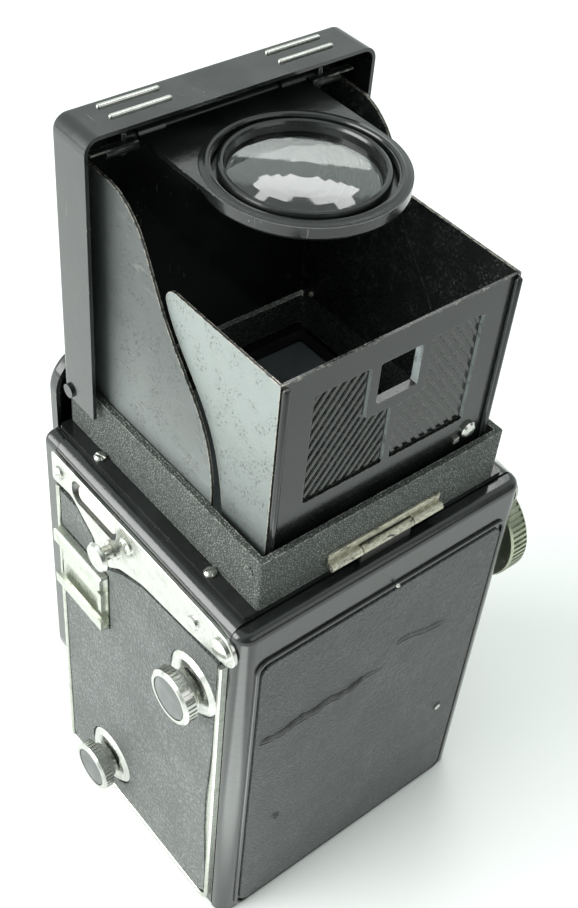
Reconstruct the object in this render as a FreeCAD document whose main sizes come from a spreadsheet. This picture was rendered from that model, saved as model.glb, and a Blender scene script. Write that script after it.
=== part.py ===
"""Twin lens reflex camera with an open folding hood: the whole assembly, in millimetres.

+Z is up, -Y is the lens side and +X is the user's left. The origin is the mouth of the tripod
socket, in the middle of the base. Every size lives in the sheet named Dims.
"""
import FreeCAD, Part
import math
import os
import re

from FreeCAD import Rotation, Vector

os.makedirs("parts", exist_ok=True)
doc = FreeCAD.newDocument("twin_lens_reflex")

# ---------------------------------------------------------------- driving dimensions

SIZES = {
    # body
    "body_width": 77.0, "body_height": 108.0, "front_y": -33.0, "back_y": 33.0, "wall": 1.5,
    "shell_end": 29.0, "corner": 4.0, "shoulder": 3.0, "foot_edge": 1.2, "door_gap": 0.3,
    "hood_half": 33.0, "hood_front": -31.4, "hood_back": 27.2,
    # front band and lens panel
    "band_depth": 5.0, "band_low": 26.0, "band_top": 107.8,
    "panel_half": 34.5, "panel_low": 29.2, "panel_top": 125.0, "panel_front": -42.0,
    "panel_back": -38.4, "panel_skin": 1.0, "panel_corner": 9.0,
    # optics
    "view_axis": 86.5, "take_axis": 45.0, "view_tube": 14.5, "take_tube": 15.0,
    "tube_skin": 1.2, "tube_end": -29.0, "gate_half": 28.0, "gate_low": 17.0, "gate_top": 70.0,
    "gate_front": 27.6, "gate_back": 29.0, "chamber_top": 67.2, "chamber_low": 27.2,
    "mirror_half": 27.2, "box_low": 68.0, "box_skin": 0.8, "screen_low": 108.0,
    "screen_top": 110.8,
    # film transport
    "spool_y": 19.0, "spool_z": 80.5, "supply_y": -13.2, "supply_z": 14.0, "flange_r": 12.3,
    "spool_half": 32.6, "core_r": 4.0, "bore_r": 2.6, "pin_r": 2.52, "roller_y": 25.3,
    "roller_z": 9.2, "roller_r": 2.6,
    # controls on the sides
    "knob_r": 6.5, "knob_end": 45.4, "knob_seat": 40.4, "seat_r": 7.9, "wind_r": 14.4,
    "wind_end": 46.6, "wind_seat": 40.2, "focus_y": -20.0, "focus_z": 55.0, "focus_r": 13.0,
    "pitch_r": 4.0,
    # hood
    "plate_top": 109.0, "frame_half": 32.0, "frame_wall": 1.4, "frame_top": 122.5,
    "frame_front": -36.8, "frame_back": 28.8, "lid_hinge_y": -33.2, "lid_hinge_z": 120.9,
    "lid_half": 34.0, "lid_low": 119.0, "lid_top": 184.5, "lid_face": -35.7, "lid_rim": -24.5,
    "lid_skin": 0.8, "wing_x": 29.6, "wing_skin": 0.6, "wing_low": 119.6,
    "rear_y": 26.0, "rear_hinge_z": 118.0, "rear_top": 162.7, "rear_wing_x": 28.3,
    "sight_half": 5.2, "sight_low": 146.6, "sight_top": 156.3,
    # magnifier
    "loupe_y": -4.8, "loupe_z": 178.4, "loupe_r": 19.7, "glass_r": 14.6, "loupe_hinge_y": -30.2,
    # small pieces
    "pivot_r": 1.15, "pivot_bore": 1.2, "lid_pin_r": 0.95, "knuckle_r": 1.0,
    "knuckle_y": 29.9, "knuckle_z": 111.3,
    "strap_skin": 0.9, "leather": 0.7, "socket_r": 3.175, "socket_depth": 6.0,
}

sheet = doc.addObject("Spreadsheet::Sheet", "Dims")
for row, (alias, value) in enumerate(SIZES.items(), start=1):
    sheet.set(f"A{row}", alias)
    sheet.set(f"B{row}", str(value))
    sheet.setAlias(f"B{row}", alias)
doc.recompute()


class Dimensions:
    """The sheet's values as plain numbers, for outlines that are worked out point by point."""

    def __getattr__(self, alias):
        return float(sheet.get(alias))


d = Dimensions()
HALF = d.body_width / 2

# ---------------------------------------------------------------- helpers

nodes = []


def linked(text):
    """A size written with the sheet's aliases, as an expression that FreeCAD can bind."""
    return re.sub(r"[a-z_]{3,}", lambda m: "Dims." + m.group() if m.group() in SIZES else m.group(),
                  str(text))


def bind(obj, **sizes):
    for name, text in sizes.items():
        obj.setExpression(name.replace("_at_", ".Placement.Base."), linked(text))


def place(obj, at, turn=None):
    if turn:
        obj.Placement = FreeCAD.Placement(Vector(0, 0, 0), turn)
    for letter, text in zip("xyz", at):
        obj.setExpression(f"Placement.Base.{letter}", linked(text))
    return obj


def box(low, high):
    """A block between two corners, each size bound to the sheet."""
    block = doc.addObject("Part::Box", "Block")
    bind(block, Length=f"({high[0]}) - ({low[0]})", Width=f"({high[1]}) - ({low[1]})",
         Height=f"({high[2]}) - ({low[2]})")
    return place(block, low)


TURN = {"x": Rotation(Vector(0, 1, 0), 90), "y": Rotation(Vector(1, 0, 0), -90),
        "z": Rotation()}


def rod(axis, centre, low, high, radius):
    """A round bar along an axis; centre is its place in the other two directions."""
    bar = doc.addObject("Part::Cylinder", "Rod")
    bind(bar, Radius=radius, Height=f"({high}) - ({low})")
    at = list(centre)
    at.insert("xyz".index(axis), low)
    return place(bar, at, TURN[axis])


def fuse(*parts):
    if len(parts) == 1:
        return parts[0]
    joined = doc.addObject("Part::MultiFuse", "Joined")
    joined.Shapes = list(parts)
    joined.Refine = True
    return joined


def cut(base, *tools):
    result = doc.addObject("Part::Cut", "Cut")
    result.Base = base
    result.Tool = fuse(*tools)
    result.Refine = True
    return result


def group(*parts):
    """Separate solids of one kind that share a node."""
    several = doc.addObject("Part::Compound", "Set")
    several.Links = list(parts)
    return several


def rounded(base, radius, chosen):
    """Round the edges that chosen(box of edge) picks."""
    doc.recompute()
    edges = [(i, radius, radius) for i, e in enumerate(base.Shape.Edges, start=1)
             if chosen(e.BoundBox)]
    result = doc.addObject("Part::Fillet", "Rounded")
    result.Base = base
    result.Edges = edges
    return result


def mirrored(part):
    """The same piece on the other side of the camera."""
    other = doc.addObject("Part::Mirroring", "Other_side")
    other.Source = part
    other.Normal = Vector(1, 0, 0)
    return other


def both_sides(part):
    return group(part, mirrored(part))


def near(value, goal, slack=0.02):
    return abs(value - goal) < slack


def node(name, part):
    part.Label = name
    nodes.append(part)
    return part


# outlines for sketches


def outline(points):
    """Lines through the points; a third number rounds that corner by its radius."""
    count = len(points)
    corners = []
    for i, point in enumerate(points):
        here = Vector(point[0], point[1], 0)
        radius = point[2] if len(point) > 2 else 0
        before = Vector(*points[i - 1][:2], 0) - here
        after = Vector(*points[(i + 1) % count][:2], 0) - here
        if not radius:
            corners.append((here, here, None))
            continue
        half = before.getAngle(after) / 2
        reach = radius / math.tan(half)
        before.normalize()
        after.normalize()
        middle = before + after
        middle.normalize()
        centre = here + middle * (radius / math.sin(half))
        corners.append((here + before * reach, here + after * reach, centre - middle * radius))
    shapes = []
    for i, (start, end, through) in enumerate(corners):
        if through is not None:
            shapes.append(Part.Arc(start, through, end))
        following = corners[(i + 1) % count][0]
        if end.distanceToPoint(following) > 1e-6:
            shapes.append(Part.LineSegment(end, following))
    return shapes


def rectangle(left, low, right, top, radius=0):
    return outline([(left, low, radius), (right, low, radius), (right, top, radius),
                    (left, top, radius)])


def circle(u, v, radius):
    return [Part.Circle(Vector(u, v, 0), Vector(0, 0, 1), radius)]


def curve(points):
    """One smooth curve through the points."""
    smooth = Part.BSplineCurve()
    smooth.interpolate([Vector(u, v, 0) for u, v in points])
    return smooth


def chain(points):
    """Straight lines from point to point, left open at the end."""
    return [Part.LineSegment(Vector(*a, 0), Vector(*b, 0)) for a, b in zip(points, points[1:])]


PLANES = {"xy": "XY_Plane", "xz": "XZ_Plane", "yz": "YZ_Plane"}
OUTWARD = {"xy": 1, "xz": -1, "yz": 1}


def body():
    return doc.addObject("PartDesign::Body", "Body")


def sketch(owner, plane, start, *loops):
    """A sketch on one of the body's origin planes, moved along it to the place start."""
    drawing = owner.newObject("Sketcher::SketchObject", "Sketch")
    wanted = [f for f in owner.Origin.OriginFeatures if f.Role == PLANES[plane]][0]
    drawing.AttachmentSupport = [(wanted, "")]
    drawing.MapMode = "FlatFace"
    drawing.setExpression("AttachmentOffset.Base.z", linked(f"({start}) * {OUTWARD[plane]}"))
    for loop in loops:
        drawing.addGeometry(loop, False)
    return drawing


def pad(owner, plane, low, high, *loops):
    """Material between two places along the plane's normal."""
    start = high if plane == "xz" else low
    feature = owner.newObject("PartDesign::Pad", "Pad")
    feature.Profile = sketch(owner, plane, start, *loops)
    feature.setExpression("Length", linked(f"({high}) - ({low})"))
    doc.recompute()
    return owner


def pocket(owner, plane, low, high, *loops):
    """Material taken away between two places along the plane's normal."""
    before = owner.Shape.Volume
    start = low if plane == "xz" else high
    feature = owner.newObject("PartDesign::Pocket", "Pocket")
    feature.Profile = sketch(owner, plane, start, *loops)
    feature.setExpression("Length", linked(f"({high}) - ({low})"))
    doc.recompute()
    if not owner.Shape.Volume < before - 0.001:
        raise ValueError(f"the pocket in {owner.Name} cuts nothing")
    return owner


def turned(axis, centre, points):
    """A turned piece: points are (place along the axis, radius) from one end to the other."""
    owner = body()
    drawing = sketch(owner, "xy", "0", outline([(r, along) for along, r in points]))
    feature = owner.newObject("PartDesign::Revolution", "Revolution")
    feature.Profile = drawing
    feature.ReferenceAxis = (drawing, ["V_Axis"])
    feature.Angle = 360
    doc.recompute()
    lay = {"x": Rotation(Vector(0, 0, 1), -90), "y": Rotation(), "z": Rotation(Vector(1, 0, 0), 90)}
    at = list(centre)
    at.insert("xyz".index(axis), "0")
    return place(owner, at, lay[axis])


def fillet_body(owner, radius, chosen):
    edges = [f"Edge{i}" for i, e in enumerate(owner.Shape.Edges, start=1) if chosen(e.BoundBox)]
    last = owner.Tip
    feature = owner.newObject("PartDesign::Fillet", "Fillet")
    feature.Base = (last, edges)
    feature.Radius = radius
    doc.recompute()
    return owner


def slotted_head(axis, centre, base, rise, radius, slot_angle=0):
    """A domed screw head with a driver slot, standing on the place base."""
    sign = 1 if rise > 0 else -1
    crown = abs(rise)
    dome = turned(axis, centre, [(base, 0), (base, radius), (base + sign * crown * 0.45, radius),
                                 (base + sign * crown * 0.85, radius * 0.7),
                                 (base + sign * crown, 0)])
    blade = doc.addObject("Part::Box", "Blade")
    blade.Length, blade.Width, blade.Height = radius * 0.36, radius * 3, crown
    lay = Rotation(TURN[axis].multVec(Vector(0, 0, 1)), slot_angle).multiply(TURN[axis])
    corner = lay.multVec(Vector(-radius * 0.18, -radius * 1.5, 0))
    top = base + (crown * 0.5 if sign > 0 else -crown * 1.5)
    middle = [float(c) for c in centre]
    middle.insert("xyz".index(axis), top)
    blade.Placement = FreeCAD.Placement(Vector(*middle) + corner, lay)
    return cut(dome, blade)


# ---------------------------------------------------------------- body casting


BASE_HALF = 34.5


def base_plate():
    """The floor of the body, with a stepped hole for the tripod bush."""
    plate = box((f"{-BASE_HALF}", "front_y + wall", "0"), (f"{BASE_HALF}", "shell_end", "wall"))
    return cut(plate, rod("z", ("0", "0"), "-1", "wall + 1", "5.9"),
               rod("z", ("0", "0"), "-1", "0.8", "7.7"))


def body_shell():
    outer = box(("-body_width/2", "front_y", "0"), ("body_width/2", "shell_end", "body_height"))
    outer = rounded(outer, d.shoulder, lambda b: near(b.ZMin, d.body_height) and b.YLength > 50)
    outer = rounded(outer, d.foot_edge, lambda b: near(b.ZMax, 0) and b.YLength > 50)
    inside = box(("-body_width/2 + wall", "front_y + wall", "wall"),
                 ("body_width/2 - wall", "shell_end + 1", "body_height - wall"))
    mouth = box(("-hood_half", "front_y + wall", "body_height - 3"),
                ("hood_half", "hood_back", "body_height + 1"))
    holes = [rod("y", ("0", "take_axis"), "front_y - 1", "front_y + 3", "take_tube + tube_skin + 1"),
             rod("y", ("0", "view_axis"), "front_y - 1", "front_y + 3", "view_tube + tube_skin + 1"),
             box((f"{-BASE_HALF}", "front_y + wall", "-1"), (f"{BASE_HALF}", "shell_end + 1", "wall + 1"))]
    for side in (-1, 1):
        holes.append(box((f"{side * 30} - 0.8", "front_y - 1", "74"),
                         (f"{side * 30} + 0.8", "front_y + 2", "104")))
        holes.append(box((f"{side * 31.8} - 1.8", "front_y - 1", "focus_z + 2.6"),
                         (f"{side * 31.8} + 1.8", "front_y + 2", "focus_z + 8.6")))
    shell = cut(outer, inside, mouth, *holes)
    bosses = [rod("x", (y, z), "spool_half + 0.8", "body_width/2 - wall + 0.2", "5")
              for y, z in (("spool_y", "spool_z"), ("supply_y", "supply_z"))]
    bosses += [rod("x", (y, z), "-body_width/2 + wall - 0.2", "-spool_half - 0.8", "5")
               for y, z in (("spool_y", "spool_z"), ("supply_y", "supply_z"))]
    supply_pin = rod("x", ("supply_y", "supply_z"), "-spool_half - 1", "-spool_half + 5", "pin_r")
    shell = fuse(shell, *bosses, supply_pin)
    bores = [rod("x", ("spool_y", "spool_z"), "spool_half - 3", "body_width/2 + 1", "pin_r + 0.08"),
             rod("x", ("supply_y", "supply_z"), "spool_half - 3", "body_width/2 + 1",
                 "pin_r + 0.08"),
             rod("x", ("spool_y", "spool_z"), "-body_width/2 - 1", "-spool_half + 3",
                 "pin_r + 0.08"),
             rod("x", ("focus_y", "focus_z"), "-body_width/2 - 1", "-body_width/2 + wall + 1",
                 "2.08")]
    return cut(shell, *bores)


def front_band():
    """A raised surround on the body's front, open at the top, that the lens panel slides in."""
    owner = body()
    edge, inner = HALF, d.panel_half + 0.6
    top, low = d.band_top, d.band_low
    pad(owner, "xz", "front_y - band_depth", "front_y",
        outline([(-edge, low, 12), (edge, low, 12), (edge, top, 2.5), (inner, top),
                 (inner, low + 2.7, 9.4), (-inner, low + 2.7, 9.4), (-inner, top),
                 (-edge, top, 2.5)]))
    return fillet_body(owner, 1.2, lambda b: near(b.YMax, d.front_y - d.band_depth)
                       and near(b.YMin, b.YMax) and (b.XMax > edge - 0.1 or b.XMin < 0.1 - edge
                                                     or near(b.ZMax, low)))


def tripod_bush():
    deep = d.socket_depth
    return turned("z", ("0", "0"), [(0, d.socket_r), (0, 7.6), (0.8, 7.6), (0.8, 5.8), (deep, 5.8),
                                    (deep, d.socket_r)])


# ---------------------------------------------------------------- dark chamber and finder


def dark_chamber():
    owner = body()
    front, back = d.front_y + d.wall, d.gate_front
    pad(owner, "yz", "-gate_half - 1", "gate_half + 1",
        outline([(front, d.chamber_low), (-6, d.chamber_low), (back, d.gate_low - 2.4),
                 (back, d.gate_top + 0.2), (23.5, d.chamber_top), (front, d.chamber_top)]))
    pocket(owner, "yz", "-gate_half", "gate_half",
           outline([(front + 1, d.chamber_low + 1), (-6, d.chamber_low + 1),
                    (back + 1, d.gate_low - 1), (back + 1, d.gate_top - 0.6),
                    (23.0, d.chamber_top - 1), (front + 1, d.chamber_top - 1)]))
    pocket(owner, "xz", "front_y", "front_y + wall + 2",
           circle(0, d.take_axis, d.take_tube + d.tube_skin + 1))
    pad(owner, "xz", "gate_front", "gate_back",
        rectangle(-31, d.gate_low - 4, 31, d.gate_top + 1, 1.5),
        rectangle(-d.gate_half, d.gate_low, d.gate_half, d.gate_top, 1.5))
    cheeks = []
    for side in (-1, 1):
        cheek = box((f"{side * 31.0} - 0.6", "roller_y - 3.3", "roller_z - 3"),
                    (f"{side * 31.0} + 0.6", "gate_back", "gate_low - 1"))
        cheeks.append(cheek)
    hole = rod("x", ("roller_y", "roller_z"), "-33", "33", "1.06")
    return cut(fuse(owner, *cheeks), hole)


def film_roller():
    y, z = "roller_y", "roller_z"
    return fuse(rod("x", (y, z), "-30.2", "30.2", "roller_r"), rod("x", (y, z), "-31.6", "31.6", "1"))


def mirror_box():
    owner = body()
    front = d.front_y + d.wall
    slope = d.box_low + 15
    pad(owner, "yz", "-mirror_half - box_skin", "mirror_half + box_skin",
        outline([(front, d.box_low), (-15, d.box_low), (d.screen_low - slope, d.screen_low),
                 (front, d.screen_low)]))
    pocket(owner, "yz", "-mirror_half", "mirror_half",
           outline([(front + 1, d.box_low + 1), (-15.5, d.box_low + 1),
                    (d.screen_low + 1 - slope - 1.7, d.screen_low + 1),
                    (front + 1, d.screen_low + 1)]))
    return pocket(owner, "xz", "front_y", "front_y + wall + 2",
                  circle(0, d.view_axis, d.view_tube + d.tube_skin + 1))


def mirror():
    owner = body()
    slope = d.box_low + 15
    run = d.screen_low + 1 - slope - 1.7
    low = (-13.2, d.box_low + 3.45)
    high = (run - 3.0, d.screen_low - 1.85)
    step = 1.06
    return pad(owner, "yz", "-mirror_half + 0.3", "mirror_half - 0.3",
               outline([low, high, (high[0] - step, high[1] + step),
                        (low[0] - step, low[1] + step)]))


def screen_frame():
    owner = body()
    half = d.mirror_half + d.box_skin
    front, back = d.hood_front + 0.4, 25.6
    pad(owner, "xy", "screen_low", "screen_top", rectangle(-half, front, half, back, 1.0),
        rectangle(-half + 2.4, front + 2.4, half - 2.4, back - 2.4, 1.0))
    return pocket(owner, "xy", "screen_low", "screen_top - 0.8",
                  rectangle(-half + 1.0, front + 1.0, half - 1.0, back - 1.0, 0.6))


def focusing_screen():
    owner = body()
    half = d.mirror_half + d.box_skin - 1.1
    return pad(owner, "xy", "screen_low + 0.1", "screen_top - 0.9",
               rectangle(-half, d.hood_front + 1.5, half, 24.5, 0.5))


# ---------------------------------------------------------------- outside trim

SHOE_LOW, SHOE_HIGH = 66.6, 84.8
SHOE_FRONT, SHOE_BACK = -31.0, -12.4
STUD_Y, STUD_Z = -10.1, 95.6


def leather_panel(holes, windows):
    """One side's leather, cut round the knobs, the strap plate and what else stands on it."""
    owner = body()
    front, low, top, back = d.front_y + 2.1, 2.5, 96.0, 26.6
    shrunk = curve([(back, 14.0), (back - 0.9, 26.0), (back - 1.4, 42.0), (back - 0.6, 58.0),
                    (back, 70.0)])
    loop = chain([(back, 70.0), (back, top), (front, top), (front, low + 1.0), (front + 1.0, low),
                  (back - 2.0, low), (back, low + 2.0), (back, 14.0)])
    pad(owner, "yz", "body_width/2", "body_width/2 + leather", [*loop, shrunk])
    for y, z, radius in holes:
        pocket(owner, "yz", "body_width/2 - 1", "body_width/2 + 2", circle(y, z, radius))
    for window in windows:
        pocket(owner, "yz", "body_width/2 - 1", "body_width/2 + 2", window)
    return owner


def side_leather():
    under_plate = outline([(-40, 96.8), (-26.4, 97.6), (-22.2, 94.6), (-18.4, 92.0), (-16.8, 87.9),
                           (-12.2, 86.9), (-6.9, 90.4), (1.2, 93.6), (16.5, 95.0), (30, 95.9),
                           (30, 110), (-40, 110)])
    under_shoe = rectangle(-40, SHOE_LOW - 0.4, SHOE_BACK + 0.4, SHOE_HIGH + 0.4, 0.6)
    left = leather_panel([(d.spool_y, d.spool_z, 7.95), (d.supply_y, d.supply_z, 8.2)],
                         [under_plate, under_shoe])
    right = leather_panel([(d.spool_y, d.spool_z, 7.95), (d.focus_y, d.focus_z, 8.2)], [under_plate])
    return group(left, mirrored(right))


def side_trim():
    """Half-round nickel bead round the leather's front, base and back, with a flat lip inside."""
    front, low, back, width = -32.4, 1.0, 28.2, 1.2
    owner = body()
    outer = [(front, 97.0), (front, low, 2.0), (back, low, 3.6), (back, 95.6)]
    inner = [(front + width, 97.0), (front + width, low + width, 0.9),
             (back - width, low + width, 2.4), (back - width, 95.3)]
    pad(owner, "yz", "body_width/2", "body_width/2 + 1.1", outline(outer + inner[::-1]))
    fillet_body(owner, 0.5, lambda b: near(b.XMin, HALF + 1.1) and b.DiagonalLength > 8)
    lip = pad(body(), "yz", "body_width/2", "body_width/2 + 0.25",
              rectangle(back - width - 0.1, 6.0, back - width + 0.1, 94.0))
    strip = pad(body(), "yz", "body_width/2", "body_width/2 + 0.3",
                [*chain([(26.6, 14.0), (back - width + 0.05, 14.0), (back - width + 0.05, 70.0),
                         (26.6, 70.0)]),
                 curve([(26.6, 14.0), (25.75, 26.0), (25.25, 42.0), (26.05, 58.0), (26.6, 70.0)])])
    return both_sides(fuse(owner, lip, strip))


STRAP_OUTLINE = [(-33.6, 106.0, 0.6), (-33.6, 97.6, 1.0), (-25.8, 98.3, 4), (-21.5, 95.2, 4),
                 (-17.6, 92.6, 3), (-16.0, 88.6, 1.8), (-12.0, 87.9, 3), (-7.6, 91.6, 6),
                 (1.0, 94.6, 9), (16.5, 96.0, 20), (24.6, 97.2, 6), (32.0, 98.2, 3.4),
                 (31.4, 105.2, 4.2), (24.0, 106.0, 6)]


def strap_plate():
    owner = body()
    pad(owner, "yz", "body_width/2", "body_width/2 + strap_skin", outline(STRAP_OUTLINE))
    owner = fillet_body(owner, 0.35, lambda b: near(b.XMin, HALF + d.strap_skin))
    return pocket(owner, "yz", "body_width/2 - 1", "body_width/2 + 3",
                  rectangle(-25.4, 98.4, -8.6, 104.8, 2.6))


def strap_inlay():
    owner = body()
    pad(owner, "yz", "body_width/2", "body_width/2 + 0.6", rectangle(-23.4, 100.0, -9.4, 104.0, 1.6))
    return fillet_body(owner, 0.3, lambda b: near(b.XMin, HALF + 0.6))


def strap_stud():
    base = HALF + d.strap_skin
    return turned("x", (f"{STUD_Y}", f"{STUD_Z}"),
                  [(base, 0), (base, 2.4), (base + 0.5, 2.4), (base + 0.8, 1.6), (base + 2.6, 1.6),
                   (base + 3.0, 3.0), (base + 3.6, 3.5), (base + 4.3, 3.1), (base + 4.7, 0)])


def strap_screws():
    face = HALF + d.strap_skin
    heads = [slotted_head("x", ("-4.8", "101.6"), face, 0.9, 2.0, 70),
             slotted_head("x", ("27.6", "101.4"), face, 1.1, 2.7, 15),
             slotted_head("x", ("-30.6", "101.6"), face, 0.8, 1.6, 40)]
    rivet = turned("x", ("18.6", "100.6"), [(face, 0), (face, 1.7), (face + 0.5, 1.5),
                                            (face + 0.8, 0)])
    return group(*heads, rivet, *[mirrored(h) for h in heads], mirrored(rivet))


def accessory_shoe():
    """A plate with its top and bottom edges folded out and over, open towards the back."""
    owner = body()
    high, low = SHOE_HIGH, SHOE_LOW
    lip, skin, stand = 3.6, 0.9, 3.0
    profile = [(HALF, low), (HALF + stand, low), (HALF + stand, low + lip),
               (HALF + stand - skin, low + lip), (HALF + stand - skin, low + skin),
               (HALF + skin, low + skin), (HALF + skin, high - skin),
               (HALF + stand - skin, high - skin), (HALF + stand - skin, high - lip),
               (HALF + stand, high - lip), (HALF + stand, high), (HALF, high)]
    pad(owner, "xz", f"{SHOE_FRONT}", f"{SHOE_BACK}", outline(profile))
    return fillet_body(owner, 0.8, lambda b: b.YLength > 15 and near(b.XMax, HALF + stand)
                       and (near(b.ZMin, low) or near(b.ZMin, high)))


def shoe_spring():
    """A bowed leaf on the shoe's plate, with a raised stop at its closed end."""
    middle = (SHOE_LOW + SHOE_HIGH) / 2
    plate = HALF + 0.9
    leaf = pad(body(), "xz", f"{SHOE_FRONT + 1.6}", f"{SHOE_BACK - 2.4}",
               outline([(plate, middle - 4.4), (plate + 0.4, middle - 4.4), (plate + 1.0, middle, 4),
                        (plate + 0.4, middle + 4.4), (plate, middle + 4.4)]))
    stop = box((f"{plate}", f"{SHOE_BACK - 2.0}", f"{middle - 3.0}"),
               (f"{plate + 1.5}", f"{SHOE_BACK - 0.6}", f"{middle + 3.0}"))
    return group(leaf, stop)


# ---------------------------------------------------------------- spool and wind knobs


def left_flanges():
    """Domed collars under the pull-out knobs."""
    return [turned("x", (y, z), [(HALF, d.pin_r + 0.1), (HALF, d.seat_r), (HALF + 0.5, d.seat_r),
                                 (HALF + 1.4, 6.6), (HALF + 1.7, 4.4), (HALF + 1.7, d.pin_r + 0.1)])
            for y, z in (("spool_y", "spool_z"), ("supply_y", "supply_z"))]


def right_flanges():
    face = -HALF
    wind = turned("x", ("spool_y", "spool_z"), [(face, 3.0), (face, 7.9), (face - 0.7, 7.9),
                                                (face - 1.2, 6.4), (face - 1.2, 3.0)])
    focus = turned("x", ("focus_y", "focus_z"), [(face, 2.3), (face, 7.9), (face - 0.7, 7.9),
                                                 (face - 1.2, 6.4), (face - 1.2, 2.3)])
    return [wind, focus]


def knurl(base, centre, radius, low, high, count, depth):
    """Grooves round a knob's rim, repeated about the X axis through centre."""
    y, z = centre
    width = math.pi * radius / count
    tools = []
    for i in range(count):
        angle = 360.0 * i / count
        tool = Part.makeBox(high - low, width, depth + 1, Vector(low, -width / 2, radius - depth))
        tool.rotate(Vector(0, 0, 0), Vector(1, 0, 0), angle)
        tools.append(tool)
    cutter = doc.addObject("Part::Feature", "Grooves")
    cutter.Shape = Part.makeCompound(tools)
    cutter.Placement = FreeCAD.Placement(Vector(0, y, z), Rotation())
    return cut(base, cutter)


def spool_knob(y, z):
    """A knurled knob with a stem and the pin that holds the spool's end."""
    seat, end = d.knob_seat, d.knob_end
    centre = (str(y), str(z))
    knob = turned("x", centre, [(d.spool_half - 4.4, 0), (d.spool_half - 4.4, d.pin_r - 0.6),
                                (d.spool_half - 3.6, d.pin_r), (seat + 0.6, d.pin_r),
                                (seat + 0.6, 4.6), (seat + 1.9, 4.7), (seat + 2.0, 5.9),
                                (seat + 2.2, d.knob_r), (end - 0.5, d.knob_r), (end, d.knob_r - 0.5),
                                (end, d.knob_r - 1.3), (end - 0.6, d.knob_r - 1.3), (end - 0.6, 0)])
    return knurl(knob, (y, z), d.knob_r, seat + 2.3, end - 0.7, 36, 0.3)


def knob_inlay(y, z):
    end = d.knob_end
    return turned("x", (str(y), str(z)), [(end - 0.6, 0), (end - 0.6, d.knob_r - 1.4),
                                          (end - 0.1, d.knob_r - 1.6), (end - 0.1, 0)])


def wind_knob():
    seat, end = -d.wind_seat, -d.wind_end
    knob = turned("x", ("spool_y", "spool_z"),
                  [(seat, d.pin_r), (seat, 8), (seat - 0.8, 10), (seat - 0.8, d.wind_r - 0.4),
                   (seat - 1.2, d.wind_r), (end + 0.8, d.wind_r), (end, d.wind_r - 0.8),
                   (end, 10.5), (end + 0.5, 10.0), (end + 0.5, d.pin_r)])
    return knurl(knob, (d.spool_y, d.spool_z), d.wind_r, end + 0.9, seat - 1.3, 64, 0.4)


def wind_shaft():
    shaft = turned("x", ("spool_y", "spool_z"), [(-d.wind_end + 0.2, 0), (-d.wind_end + 0.2, 2.5),
                                                 (-32.7, 2.5), (-32.7, 2.0), (-28.0, 2.0),
                                                 (-27.4, 1.4), (-27.4, 0)])
    key = box(("-32.9", "spool_y - 4.2", "spool_z - 0.7"), ("-31.0", "spool_y + 4.2",
                                                           "spool_z + 0.7"))
    return fuse(shaft, key)


def film_spool(y, z):
    """A roll-film spool: two flanges on a slim core, with a bore and a key slot at each end."""
    end, skin = d.spool_half, 1.0
    spool = turned("x", (y, z), [(-end, d.bore_r), (-end, d.flange_r), (-end + skin, d.flange_r),
                                 (-end + skin, d.core_r), (end - skin, d.core_r),
                                 (end - skin, d.flange_r), (end, d.flange_r), (end, d.bore_r),
                                 (end - 8, d.bore_r), (end - 8, 0.8), (-end + 8, 0.8),
                                 (-end + 8, d.bore_r)])
    slots = [box((f"{low}", f"{y} - 4.6", f"{z} - 0.9"), (f"{low} + 2.2", f"{y} + 4.6", f"{z} + 0.9"))
             for low in ("-spool_half - 0.2", "spool_half - 2.0")]
    return cut(spool, *slots)


# ---------------------------------------------------------------- focusing drive

PINION_TEETH = 10
PITCH = 2 * math.pi * 4.0 / PINION_TEETH
GEAR_LOW, GEAR_HIGH = -33.2, -30.4


def focus_knob():
    face = -HALF - 1.5
    end = face - 8.5
    knob = turned("x", ("focus_y", "focus_z"),
                  [(face, 2.0), (face, 9), (face - 0.8, d.focus_r - 0.4), (face - 1.4, d.focus_r),
                   (end + 0.8, d.focus_r), (end, d.focus_r - 0.8), (end, 8.5), (end + 0.6, 8.0),
                   (end + 0.6, 2.0)])
    return knurl(knob, (d.focus_y, d.focus_z), d.focus_r, end + 1.0, face - 1.6, 56, 0.4)


def focus_pinion():
    """The focusing shaft with its ten-tooth pinion, one tooth pointing straight up at rest."""
    shaft = rod("x", ("focus_y", "focus_z"), str(-HALF - 9.6), str(GEAR_HIGH), "2")
    root = d.pitch_r - 0.9
    tip = d.pitch_r + 0.6
    teeth = [Part.makeCylinder(root, GEAR_HIGH - GEAR_LOW, Vector(GEAR_LOW, 0, 0), Vector(1, 0, 0))]
    for i in range(PINION_TEETH):
        face = Part.Face(Part.makePolygon([
            Vector(GEAR_LOW, -0.55, root - 0.2), Vector(GEAR_LOW, 0.55, root - 0.2),
            Vector(GEAR_LOW, 0.32, tip), Vector(GEAR_LOW, -0.32, tip),
            Vector(GEAR_LOW, -0.55, root - 0.2)]))
        tooth = face.extrude(Vector(GEAR_HIGH - GEAR_LOW, 0, 0))
        tooth.rotate(Vector(0, 0, 0), Vector(1, 0, 0), 360.0 * i / PINION_TEETH)
        teeth.append(tooth)
    gear = doc.addObject("Part::Feature", "Pinion_teeth")
    gear.Shape = teeth[0].multiFuse(teeth[1:]).removeSplitter()
    gear.Placement = FreeCAD.Placement(Vector(0, d.focus_y, d.focus_z), Rotation())
    return fuse(shaft, gear)


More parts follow.
